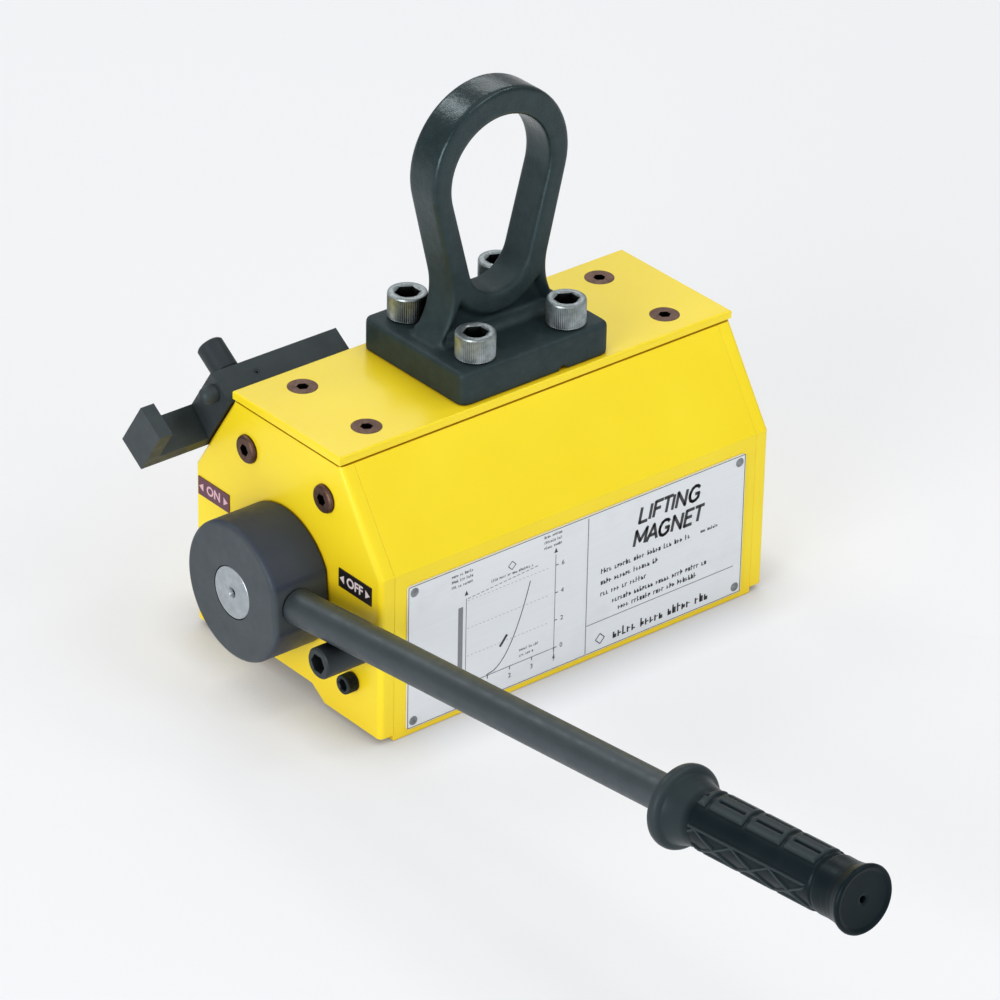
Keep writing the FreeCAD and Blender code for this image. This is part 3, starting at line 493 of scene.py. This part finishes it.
# ---------------------------------------------------------------- lifting eye
def forged_eye():
    """The eye as a forging: blended edges, and a sunk web beside the bead that rounds the hole."""
    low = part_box("lifting_eye")[0]
    foot_top = low.z + eye_foot_thickness
    bead_centre = low.z + eye_bead_rise
    bead_radius = eye_bead_inner_radius + eye_bead_width
    mesh = nodes["lifting_eye"].data.copy()
    piece = add_piece("eye_forging", mesh, materials["dark_forging"], "housing", ["lifting_eye"])
    weld = piece.modifiers.new("weld", "WELD")
    weld.merge_threshold = 1e-6
    remesh = piece.modifiers.new("voxels", "REMESH")
    remesh.mode = "VOXEL"
    remesh.voxel_size = eye_voxel
    applied(piece)
    points = corners_of(piece.data)
    across = np.abs(points[:, 1])
    height = points[:, 2]
    rise = np.clip((height - foot_top) / (eye_leg_top_height - eye_leg_foot_height), 0.0, 1.0)
    flank_edge = (eye_leg_half_width - eye_leg_narrowing * (1 - (1 - rise) ** 2)) * MM
    from_bead = np.hypot(across, height - bead_centre) - bead_radius
    from_rim = flank_edge - eye_leg_rim - across
    from_foot = height - foot_top - 1.5 * MM
    below_web_top = eye_web_top_height - height
    inside = np.minimum.reduce([from_bead, from_rim, from_foot, below_web_top])
    sunk = smooth_step(inside / (2.5 * MM)) * eye_pocket_depth
    on_flank = np.abs(points[:, 0]) > 4.0 * MM
    points[:, 0] -= np.sign(points[:, 0]) * sunk * on_flank
    piece.data.vertices.foreach_set("co", points.ravel())
    smooth = piece.modifiers.new("forged_edges", "SMOOTH")
    smooth.factor = 0.6
    smooth.iterations = eye_smoothing_rounds
    thin = piece.modifiers.new("thin_out", "DECIMATE")
    thin.ratio = 0.45
    applied(piece)
    piece.data.shade_smooth()
    return piece


def coil_spring():
    """The lock's spring on its own copy of the CAD mesh; the real spring shortens against the end of its bore as
    the pin is drawn back.
    """
    piece = add_piece("coil_spring", nodes["lock_spring"].data.copy(), materials["spring_steel"],
                      body_of["lock_spring"], ["lock_spring"])
    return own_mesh(piece)


# ---------------------------------------------------------------- socket screws
def screw_radius(kind, radius, index, steps):
    """Radius of one corner of a turned screw: round, knurled, or the wall of a hexagon socket."""
    if kind == "knurl":
        return radius - knurl_depth * (index % 2)
    if kind == "hex":
        turn = (2 * math.pi * index / steps) % (math.pi / 3) - math.pi / 6
        return radius / math.cos(turn)
    return radius


def spun(profile, steps):
    """Closed turned solid about Z from (kind, radius, height) rows that start and end at radius 0."""
    points = [Vector((0, 0, profile[0][2])), Vector((0, 0, profile[-1][2]))]
    rows = profile[1:-1]
    for kind, radius, height in rows:
        for index in range(steps):
            reach = screw_radius(kind, radius, index, steps)
            angle = 2 * math.pi * index / steps
            points.append(Vector((reach * math.cos(angle), reach * math.sin(angle), height)))
    faces = []
    last = len(rows) - 1
    for index in range(steps):
        after = (index + 1) % steps
        faces.append((0, 2 + index, 2 + after))
        faces.append((1, 2 + last * steps + after, 2 + last * steps + index))
        for row in range(last):
            start = 2 + row * steps
            faces.append((start + index, start + steps + index, start + steps + after, start + after))
    return points, faces


def cap_screw_profile(size, socket, length):
    """Rows of a knurled socket cap screw, its head on Z = 0 and its shank below."""
    head = 0.75 * size * MM
    top = size * MM
    wall = socket / 2 * MM
    rim = 0.9 * MM if size > 8 else 0.5 * MM
    return [("round", 0, top - 0.55 * size * MM), ("hex", wall, top - 0.50 * size * MM),
            ("hex", wall, top - 0.5 * MM), ("round", wall * 1.22, top), ("round", head - rim, top),
            ("round", head - 0.35 * rim, top - 0.25 * rim), ("round", head - 0.02 * MM, top - rim),
            ("knurl", head, top - rim - 0.4 * MM), ("knurl", head, 1.2 * MM),
            ("round", head - 0.02 * MM, 0.7 * MM), ("round", head - 0.5 * MM, 0.0),
            ("round", size / 2 * MM, 0.0), ("round", size / 2 * MM, -length * MM), ("round", 0, -length * MM)]


def screw_set(name, node, size, socket, length, seats, direction, finish):
    """Row of knurled cap screws in one piece, heads away from direction."""
    points, faces = spun(cap_screw_profile(size, socket, length), 2 * knurl_ridges)
    turn = Vector((0, 0, -1)).rotation_difference(direction).to_matrix()
    all_points = []
    all_faces = []
    for seat in seats:
        base = len(all_points)
        all_points += [seat + turn @ point for point in points]
        all_faces += [tuple(base + corner for corner in face) for face in faces]
    mesh = mesh_from(name, all_points, all_faces)
    shade_by_angle(mesh, 30)
    return add_piece(name, mesh, finish, body_of[node], [node])


def solid_centres(node):
    """Middle of each separate solid of a CAD node."""
    work = bmesh.new()
    work.from_mesh(nodes[node].data)
    bmesh.ops.remove_doubles(work, verts=work.verts, dist=1e-6)
    unseen = set(work.verts)
    centres = []
    while unseen:
        front = [unseen.pop()]
        lows = front[0].co.copy()
        highs = lows.copy()
        while front:
            corner = front.pop()
            lows = Vector(map(min, lows, corner.co))
            highs = Vector(map(max, highs, corner.co))
            for edge in corner.link_edges:
                other = edge.other_vert(corner)
                if other in unseen:
                    unseen.remove(other)
                    front.append(other)
        centres.append((lows + highs) / 2)
    work.free()
    return sorted(centres, key=lambda centre: (round(centre.x, 4), round(centre.y, 4)))


def eye_cap_screws():
    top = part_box("eye_screws")[1].z
    seats = [Vector((spot.x, spot.y, top - 12 * MM)) for spot in solid_centres("eye_screws")]
    return screw_set("eye_cap_screws", "eye_screws", 12, 10.0, 39.5, seats, Vector((0, 0, -1)),
                     materials["zinc_screw"])


def cheek_cap_screws(node, side):
    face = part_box("front_plate")[0].y if side < 0 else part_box("rear_plate")[1].y
    seats = [Vector((spot.x, face, spot.z)) for spot in solid_centres(node)]
    return screw_set(node + "_knurled", node, 6, 5.0, 21.5, seats, Vector((0, -side, 0)), screw_black)


# ---------------------------------------------------------------- grip
def grip_outline(run):
    """Radius of the plain grip at a run from its guard, in metres."""
    marks = [(0, 15.5), (0.4, 16.8), (1.2, 17.7), (2.4, 18.0), (3.8, 18.0), (5.0, 17.5), (5.7, 16.6),
             (5.9, 15.8), (6.6, 15.0), (8.2, 14.4), (10.5, 13.7), (13.5, 13.0), (17.0, 12.3), (20.0, 11.9),
             (88.4, 11.9), (88.9, 11.5), (89.6, 11.3), (90.3, 11.6), (90.8, 12.4), (91.5, 12.6),
             (96.0, 12.5), (99.5, 12.7), (102.5, 13.2), (104.8, 14.0), (106.2, 14.6), (107.0, 14.7),
             (107.6, 14.5), (108.0, 13.9)]
    runs = np.array([mark[0] for mark in marks]) * MM
    radii = np.array([mark[1] for mark in marks]) * MM
    return np.interp(run, runs, radii)


def soft_band(distance, half_width, edge):
    """1 inside a band, falling smoothly to 0 over its edge."""
    return smooth_step((half_width - np.abs(distance)) / edge + 0.5)


def grip_relief(angle, run):
    """Height of the moulded pattern; angle in degrees from the upper side towards the front."""
    covered = smooth_step((run - grip_pattern_start) / (1.5 * MM))
    covered = covered * smooth_step((grip_pattern_end - 1.0 * MM - run) / (1.5 * MM))
    along = (run - grip_pattern_end) % grip_module - grip_module / 2
    radius = 12.3 * MM
    pads = np.radians((angle + 5 + 90) % 180 - 90) * radius
    row = soft_band(pads, 8.0 * MM, 0.8 * MM)
    slant = along - 0.18 * pads
    gap = soft_band(np.abs(slant) - grip_module / 2, 1.3 * MM, 0.9 * MM)
    slot_reach = soft_band(slant, 7.6 * MM, 0.8 * MM)
    slots = soft_band(np.abs(pads) - 3.0 * MM, 0.75 * MM, 0.6 * MM) * slot_reach
    height = row * grip_pad_height * (1 - gap) * (1 - slots)
    cross = np.radians((angle - 105 + 90) % 180 - 90) * radius
    belt = soft_band(cross, 6.4 * MM, 0.4 * MM)
    lean = cross / (5.6 * MM) * grip_module / 2
    ribs = np.maximum(soft_band((along - lean) * 0.42, 0.5 * MM, 0.5 * MM),
                      soft_band((along + lean) * 0.42, 0.5 * MM, 0.5 * MM))
    rails = soft_band(np.abs(cross) - 6.0 * MM, 0.6 * MM, 0.5 * MM)
    height = height + np.maximum(belt * ribs, rails) * grip_rib_height
    return covered * height


def grip_sleeve():
    """Moulded grip: dished guard, patterned length, ring groove, smooth sleeve and flared end."""
    root, direction = lever_axis()
    corners = corners_of(nodes["grip"].data)
    along = (corners - np.array(root)) @ np.array(direction)
    start = along.min()
    length = along.max() - start
    rows = int(length / grip_row_pitch)
    runs = np.linspace(0.0, length, rows)
    angles = np.arange(grip_steps_round) * 360.0 / grip_steps_round
    angle_grid, run_grid = np.meshgrid(angles, runs)
    radii = grip_outline(run_grid) + grip_relief(angle_grid, run_grid)
    upward = Vector((-direction.z, 0, direction.x))
    frontward = Vector((0, -1, 0))
    centre = np.array(root + direction * start)
    turn = np.radians(angle_grid)[..., None]
    points = centre + run_grid[..., None] * np.array(direction)
    spokes = np.cos(turn) * np.array(upward) + np.sin(turn) * np.array(frontward)
    points = points + radii[..., None] * spokes
    points = points.reshape(-1, 3).tolist()
    steps = grip_steps_round
    faces = []

    def ring(radius, run):
        first = len(points)
        for angle in angles:
            spoke = upward * math.cos(math.radians(angle)) + frontward * math.sin(math.radians(angle))
            points.append(tuple(root + direction * (start + run) + spoke * radius))
        return first

    def bridge(first, second):
        for index in range(steps):
            after = (index + 1) % steps
            faces.append((first + index, first + after, second + after, second + index))

    for row in range(rows - 1):
        bridge(row * steps, (row + 1) * steps)
    end_rings = [ring(radius * MM, length - depth * MM) for radius, depth in
                 ((13.2, 0.0), (12.6, 0.3), (12.1, 0.75), (11.7, 0.85), (11.3, 0.9), (3.0, 0.9),
                  (2.3, 0.9), (1.6, 1.3), (1.5, 8.4))]
    bridge((rows - 1) * steps, end_rings[0])
    for first, second in zip(end_rings, end_rings[1:]):
        bridge(first, second)
    bore = [ring(8.1 * MM, length - 8.4 * MM), ring(8.1 * MM, 0.6 * MM), ring(8.7 * MM, 0.0)]
    bridge(end_rings[-1], bore[0])
    bridge(bore[0], bore[1])
    bridge(bore[1], bore[2])
    bridge(bore[2], 0)
    mesh = mesh_from("grip_sleeve", points, faces)
    shade_by_angle(mesh, 50)
    return add_piece("grip_sleeve", mesh, materials["grip_rubber"], "rotor", ["grip"])


# ---------------------------------------------------------------- print on the rating plate and labels
# Strokes of plain capital letters: corners on a grid one high, each letter with its width.
letter_strokes = {
    "L": (0.62, [[(0, 1), (0, 0), (0.62, 0)]]),
    "I": (0.0, [[(0, 0), (0, 1)]]),
    "F": (0.60, [[(0, 0), (0, 1), (0.60, 1)], [(0, 0.53), (0.48, 0.53)]]),
    "T": (0.72, [[(0, 1), (0.72, 1)], [(0.36, 0), (0.36, 1)]]),
    "N": (0.70, [[(0, 0), (0, 1), (0.70, 0), (0.70, 1)]]),
    "M": (0.84, [[(0, 0), (0, 1), (0.42, 0.25), (0.84, 1), (0.84, 0)]]),
    "A": (0.80, [[(0, 0), (0.40, 1), (0.80, 0)], [(0.16, 0.34), (0.64, 0.34)]]),
    "E": (0.60, [[(0.60, 0), (0, 0), (0, 1), (0.60, 1)], [(0, 0.53), (0.50, 0.53)]]),
    "G": (0.74, [[(0.72, 0.80), (0.56, 0.96), (0.34, 1), (0.14, 0.90), (0.02, 0.66), (0, 0.5),
                  (0.02, 0.34), (0.14, 0.10), (0.34, 0), (0.56, 0.04), (0.72, 0.18), (0.72, 0.46),
                  (0.42, 0.46)]]),
}
# Space after a letter, and the closer space inside some pairs, both in letter heights.
letter_gap = 0.30
close_gaps = {"LI": 0.17, "FT": 0.04, "TI": 0.12, "MA": 0.14, "AG": 0.14, "ET": 0.08}


class Print:
    """Thin raised print on a flat face: across and up are directions in the face, out is its normal."""

    def __init__(self, origin, across, up):
        self.origin = origin
        self.across = across
        self.up = up
        self.out = across.cross(up)
        self.thickness = 0.06 * MM
        self.points = []
        self.faces = []

    def polygon(self, outline):
        """Filled convex outline of (across, up) corners in millimetres."""
        base = len(self.points)
        count = len(outline)
        for lift in (0.0, self.thickness):
            for x, y in outline:
                spot = self.origin + self.across * (x * MM) + self.up * (y * MM) + self.out * lift
                self.points.append(spot)
        self.faces.append(tuple(base + count + index for index in range(count)))
        self.faces.append(tuple(base + index for index in reversed(range(count))))
        for index in range(count):
            after = (index + 1) % count
            self.faces.append((base + index, base + after, base + count + after, base + count + index))

    def bar(self, low_x, low_y, high_x, high_y):
        self.polygon([(low_x, low_y), (high_x, low_y), (high_x, high_y), (low_x, high_y)])

    def line(self, start, end, width):
        run = Vector((end[0] - start[0], end[1] - start[1]))
        side = Vector((-run.y, run.x)).normalized() * (width / 2)
        corners = [(start[0] - side.x, start[1] - side.y), (end[0] - side.x, end[1] - side.y),
                   (end[0] + side.x, end[1] + side.y), (start[0] + side.x, start[1] + side.y)]
        self.polygon(corners)

    def path(self, spots, width):
        for start, end in zip(spots, spots[1:]):
            self.line(start, end, width)

    def diamond(self, middle, reach, width):
        x, y = middle
        self.path([(x - reach, y), (x, y - reach), (x + reach, y), (x, y + reach), (x - reach, y)], width)

    def dashed(self, start, end, width, dash, gap):
        length = math.hypot(end[0] - start[0], end[1] - start[1])
        count = int(length / (dash + gap))
        for index in range(count):
            low = index * (dash + gap) / length
            high = low + dash / length
            spots = [(start[0] + (end[0] - start[0]) * share, start[1] + (end[1] - start[1]) * share)
                     for share in (low, high)]
            self.line(spots[0], spots[1], width)

    def filler(self, start_x, base_y, end_x, height, chance):
        """Stand-in for a line of small print: words of short upright strokes, no letters."""
        x = start_x
        while x < end_x:
            letters = chance.randint(2, 7)
            for _ in range(letters):
                if x > end_x:
                    break
                tall = height * chance.choice((0.68, 0.68, 0.72, 1.0))
                self.bar(x, base_y, x + 0.19 * height, base_y + tall)
                self.bar(x, base_y + chance.choice((0.0, 0.28, 0.52)) * height, x + 0.46 * height,
                         base_y + chance.choice((0.14, 0.42, 0.68)) * height + 0.02)
                x += 0.62 * height
            x += 0.55 * height

    def title(self, words, middle_x, base_y, height, width, lean):
        """Words in plain stroked capitals, leaning and centred."""
        gaps = [close_gaps.get(first + second, letter_gap) for first, second in zip(words, words[1:])]
        gaps.append(0)
        x = -(sum(letter_strokes[letter][0] for letter in words) + sum(gaps)) / 2
        for letter, gap in zip(words, gaps):
            wide, strokes = letter_strokes[letter]
            for stroke in strokes:
                spots = [(middle_x + (x + across + lean * rise) * height, base_y + rise * height)
                         for across, rise in stroke]
                self.path(spots, width)
                for spot in spots[1:-1]:
                    self.dot(spot, width / 2)
            x += wide + gap

    def dot(self, middle, radius):
        """Small round patch that fills the joint of two strokes."""
        turns = [2 * math.pi * index / 10 for index in range(10)]
        self.polygon([(middle[0] + radius * math.cos(turn), middle[1] + radius * math.sin(turn))
                      for turn in turns])

    def finish(self, name, material, body, slot):
        mesh = mesh_from(name, self.points, self.faces)
        return add_piece(name, mesh, material, body)


def lettering(name, words, height, middle, across, up, material, bold=0.0):
    """Flat raised words centred at a point, reading along across."""
    text = bpy.data.curves.new(name, "FONT")
    text.body = words
    text.size = height / 0.72
    text.align_x = "CENTER"
    text.align_y = "CENTER"
    text.extrude = 0.03 * MM
    text.offset = bold
    text.resolution_u = 3
    holder = bpy.data.objects.new(name, text)
    bpy.context.scene.collection.objects.link(holder)
    depsgraph = bpy.context.evaluated_depsgraph_get()
    mesh = bpy.data.meshes.new_from_object(holder.evaluated_get(depsgraph))
    bpy.data.objects.remove(holder)
    out = across.cross(up)
    turn = Matrix((across, up, out)).transposed().to_4x4()
    mesh.transform(Matrix.Translation(middle + out * (0.03 * MM)) @ turn)
    mesh.name = name
    return add_piece(name, mesh, material, "housing")


# Chart and title on the rating plate, in millimetres across from its middle and up from the floor.
chart_left = -63.8
chart_right = -13.8
chart_base = 14.6
chart_run_step = 12.5
chart_rise_step = 14.0
title_middle = 51.0
title_height = 7.4
title_stroke = 1.6
title_lean = 0.2


def rating_plate_print():
    """Generic load chart on the left half of the plate and a ruled text panel on the right half."""
    low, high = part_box("name_plate")
    origin = Vector((high.x, 0.0, 0.0))
    across = Vector((0, 1, 0))
    up = Vector((0, 0, 1))
    chance = random.Random(7)
    fine = Print(origin, across, up)
    dark = Print(origin, across, up)

    # Painted shade: a thin dark line just inside the plate's edge stands in for the shadow line along it.
    edge = high.y / MM - 0.45
    bottom = low.z / MM + 0.45
    top = high.z / MM - 0.45
    dark.path([(-edge, bottom), (edge, bottom), (edge, top), (-edge, top), (-edge, bottom)], 0.3)
    fine.line((4.5, 4.5), (4.5, 73.5), 0.45)
    fine.line((5.0, 18.6), (91.0, 18.6), 0.4)

    fine.bar(-68.2, 17.0, -65.6, 54.5)
    fine.line((chart_left, 13.0), (chart_left, 58.0), 0.35)
    fine.line((chart_right, 8.0), (chart_right, 62.0), 0.35)
    fine.line((chart_left, chart_base), (chart_right, chart_base), 0.35)
    fine.dashed((-63.0, 57.6), (-21.0, 60.2), 0.35, 1.6, 0.9)
    for index in range(4):
        height = chart_base + index * chart_rise_step
        dark.line((chart_right, height), (chart_right + 1.6, height), 0.4)
        fine.dashed((-63.0, height), (-15.0, height), 0.15, 1.0, 1.2)
    for index in range(5):
        run = chart_left + index * chart_run_step
        dark.line((run, chart_base), (run, chart_base - 1.7), 0.4)
    curve = []
    for index in range(19):
        share = index / 18
        curve.append((-52.0 + 24.0 * share ** 0.62, 15.0 + 39.0 * share ** 1.35))
    dark.path(curve, 0.42)
    dark.line((-44.6, 26.6), (-40.6, 31.4), 1.3)
    for middle, height in ((chart_left, 59.6), (chart_right, 63.0)):
        dark.polygon([(middle - 1.0, height), (middle + 1.0, height), (middle, height + 2.4)])
    dark.diamond((-38.5, 65.4), 2.1, 0.35)
    for row in range(3):
        fine.filler(-72.0, 70.6 - 2.7 * row, -60.5, 1.5, chance)
        fine.filler(-20.5, 72.0 - 2.7 * row, -10.5, 1.5, chance)
    fine.filler(-50.0, 60.9, -27.0, 1.5, chance)
    fine.filler(-33.5, 20.0, -23.0, 1.5, chance)
    fine.filler(-33.5, 17.2, -26.0, 1.5, chance)

    for start, base, end in ((12.5, 42.6, 63.0), (12.5, 37.0, 46.0), (12.5, 31.2, 40.5), (19.5, 25.6, 75.0),
                             (23.0, 20.9, 69.0)):
        dark.filler(start, base, end, 2.6, chance)
    dark.filler(70.5, 42.9, 81.0, 1.7, chance)
    dark.diamond((13.0, 9.4), 2.6, 0.45)
    dark.filler(20.5, 6.8, 76.0, 4.4, chance)
    fine.finish("plate_fine_print", faint_ink, "housing", "plate_aluminium")
    dark.finish("plate_dark_print", ink, "housing", "plate_aluminium")
    title = Print(origin, across, up)
    for words, base in (("LIFTING", 61.0), ("MAGNET", 49.8)):
        title.title(words, title_middle, base, title_height, title_stroke, title_lean)
    title.finish("plate_title", ink, "housing", "plate_aluminium")
    for index, digits in enumerate(("0", "2", "4", "6")):
        middle = origin + across * (-9.6 * MM) + up * ((chart_base + chart_rise_step * index) * MM)
        lettering("chart_number_" + digits, digits, 2.4 * MM, middle, across, up, ink)
    for index, digits in enumerate(("0", "1", "2", "3", "4")):
        middle = origin + across * ((chart_left + chart_run_step * index) * MM) + up * (9.8 * MM)
        lettering("chart_run_" + digits, digits, 2.4 * MM, middle, across, up, ink)


def state_marks(node, words, marks_ink):
    """Light lettering between two arrowheads on one of the small labels by the hub."""
    low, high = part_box(node)
    middle = Vector(((low.x + high.x) / 2, low.y, (low.z + high.z) / 2))
    across = Vector((1, 0, 0))
    up = Vector((0, 0, 1))
    lettering(node + "_letters", words, 4.6 * MM, middle, across, up, marks_ink, 0.16 * MM)
    arrows = Print(middle, across, up)
    for side in (-1, 1):
        corners = [(side * 10.4, 0.0), (side * 7.4, -2.0), (side * 7.4, 2.0)]
        arrows.polygon(corners if side < 0 else corners[::-1])
    return arrows.finish(node + "_arrows", marks_ink, "housing", "label_film")


# ---------------------------------------------------------------- stage
def floor():
    mesh = mesh_from("floor", [(-30, -30, 0), (30, -30, 0), (30, 30, 0), (-30, 30, 0)], [(0, 1, 2, 3)])
    material, tree, shader, place = start_material("studio_paper", Roughness=0.9, Specular_IOR_Level=0.1,
                                                   Emission_Color=(1.0, 1.0, 1.0, 1.0))
    tone = noise(tree, place, 3.0, 2.0)
    paper = mixed(tree, tone, (0.475, 0.487, 0.508), (0.485, 0.497, 0.518))
    # Painted shadow: the floor is darker and glows less close to the magnet.
    painted_contact_shadow = crevice(tree, 28 * MM)
    join(tree, shader, Base_Color=mixed(tree, painted_contact_shadow, paper, (0.20, 0.20, 0.21)),
         Emission_Strength=blended(tree, painted_contact_shadow, 0.42, 0.10))
    mesh.materials.append(material)
    plane = bpy.data.objects.new("floor", mesh)
    bpy.context.scene.collection.objects.link(plane)


def soft_box(name, place, aim, size, power, colour=(1.0, 1.0, 1.0)):
    lamp = bpy.data.lights.new(name, "AREA")
    lamp.shape = "RECTANGLE"
    lamp.size = size[0]
    lamp.size_y = size[1]
    lamp.energy = power
    lamp.color = colour
    holder = bpy.data.objects.new(name, lamp)
    holder.location = place
    holder.rotation_euler = (Vector(aim) - Vector(place)).to_track_quat("-Z", "Y").to_euler()
    bpy.context.scene.collection.objects.link(holder)


def lights():
    world = bpy.data.worlds.new("studio")
    bpy.context.scene.world = world
    world.use_nodes = True
    background = world.node_tree.nodes["Background"]
    background.inputs["Color"].default_value = (1.0, 1.0, 1.0, 1.0)
    background.inputs["Strength"].default_value = 0.38
    aim = (0.05, 0.0, 0.1)
    soft_box("overhead_box", (0.2, 0.0, 3.0), aim, (3.2, 3.2), 13.5)
    soft_box("key_box", (1.3, 0.4, 1.6), aim, (0.7, 0.7), 7.5)
    soft_box("left_box", (-1.5, -0.30, 1.65), aim, (0.55, 0.55), 7.0)
    soft_box("back_left_box", (-1.45, 1.1, 1.35), aim, (0.8, 0.8), 4.5)
    soft_box("back_box", (0.5, 1.1, 1.6), aim, (0.4, 0.4), 3.5)
    soft_box("right_box", (2.4, 0.2, 0.7), aim, (1.4, 1.0), 3.0)
    soft_box("front_box", (0.8, -2.2, 0.8), aim, (1.3, 1.2), 34.0)


def camera():
    azimuth = math.radians(camera_azimuth)
    elevation = math.radians(camera_elevation)
    back = Vector((math.sin(azimuth) * math.cos(elevation), -math.cos(azimuth) * math.cos(elevation),
                   math.sin(elevation)))
    lens = bpy.data.cameras.new("camera")
    lens.lens = camera_lens
    lens.sensor_width = 36.0
    lens.clip_end = 100.0
    holder = bpy.data.objects.new("camera", lens)
    turn = back.to_track_quat("Z", "Y") @ Matrix.Rotation(math.radians(camera_roll), 3, "Z").to_quaternion()
    holder.rotation_mode = "QUATERNION"
    holder.rotation_quaternion = turn
    holder.location = camera_aim + back * camera_distance
    bpy.context.scene.collection.objects.link(holder)
    bpy.context.scene.camera = holder
    bpy.context.scene.view_settings.view_transform = "Standard"


# ---------------------------------------------------------------- assembly
for node, width in edge_softening.items():
    softened(node, width)
forged_eye()
coil_spring()
eye_cap_screws()
cheek_cap_screws("front_cap_screws", -1)
cheek_cap_screws("rear_cap_screws", 1)
grip_sleeve()
rating_plate_print()
state_marks("on_label", "ON", rose_ink)
state_marks("off_label", "OFF", pale_ink)
floor()
lights()
camera()
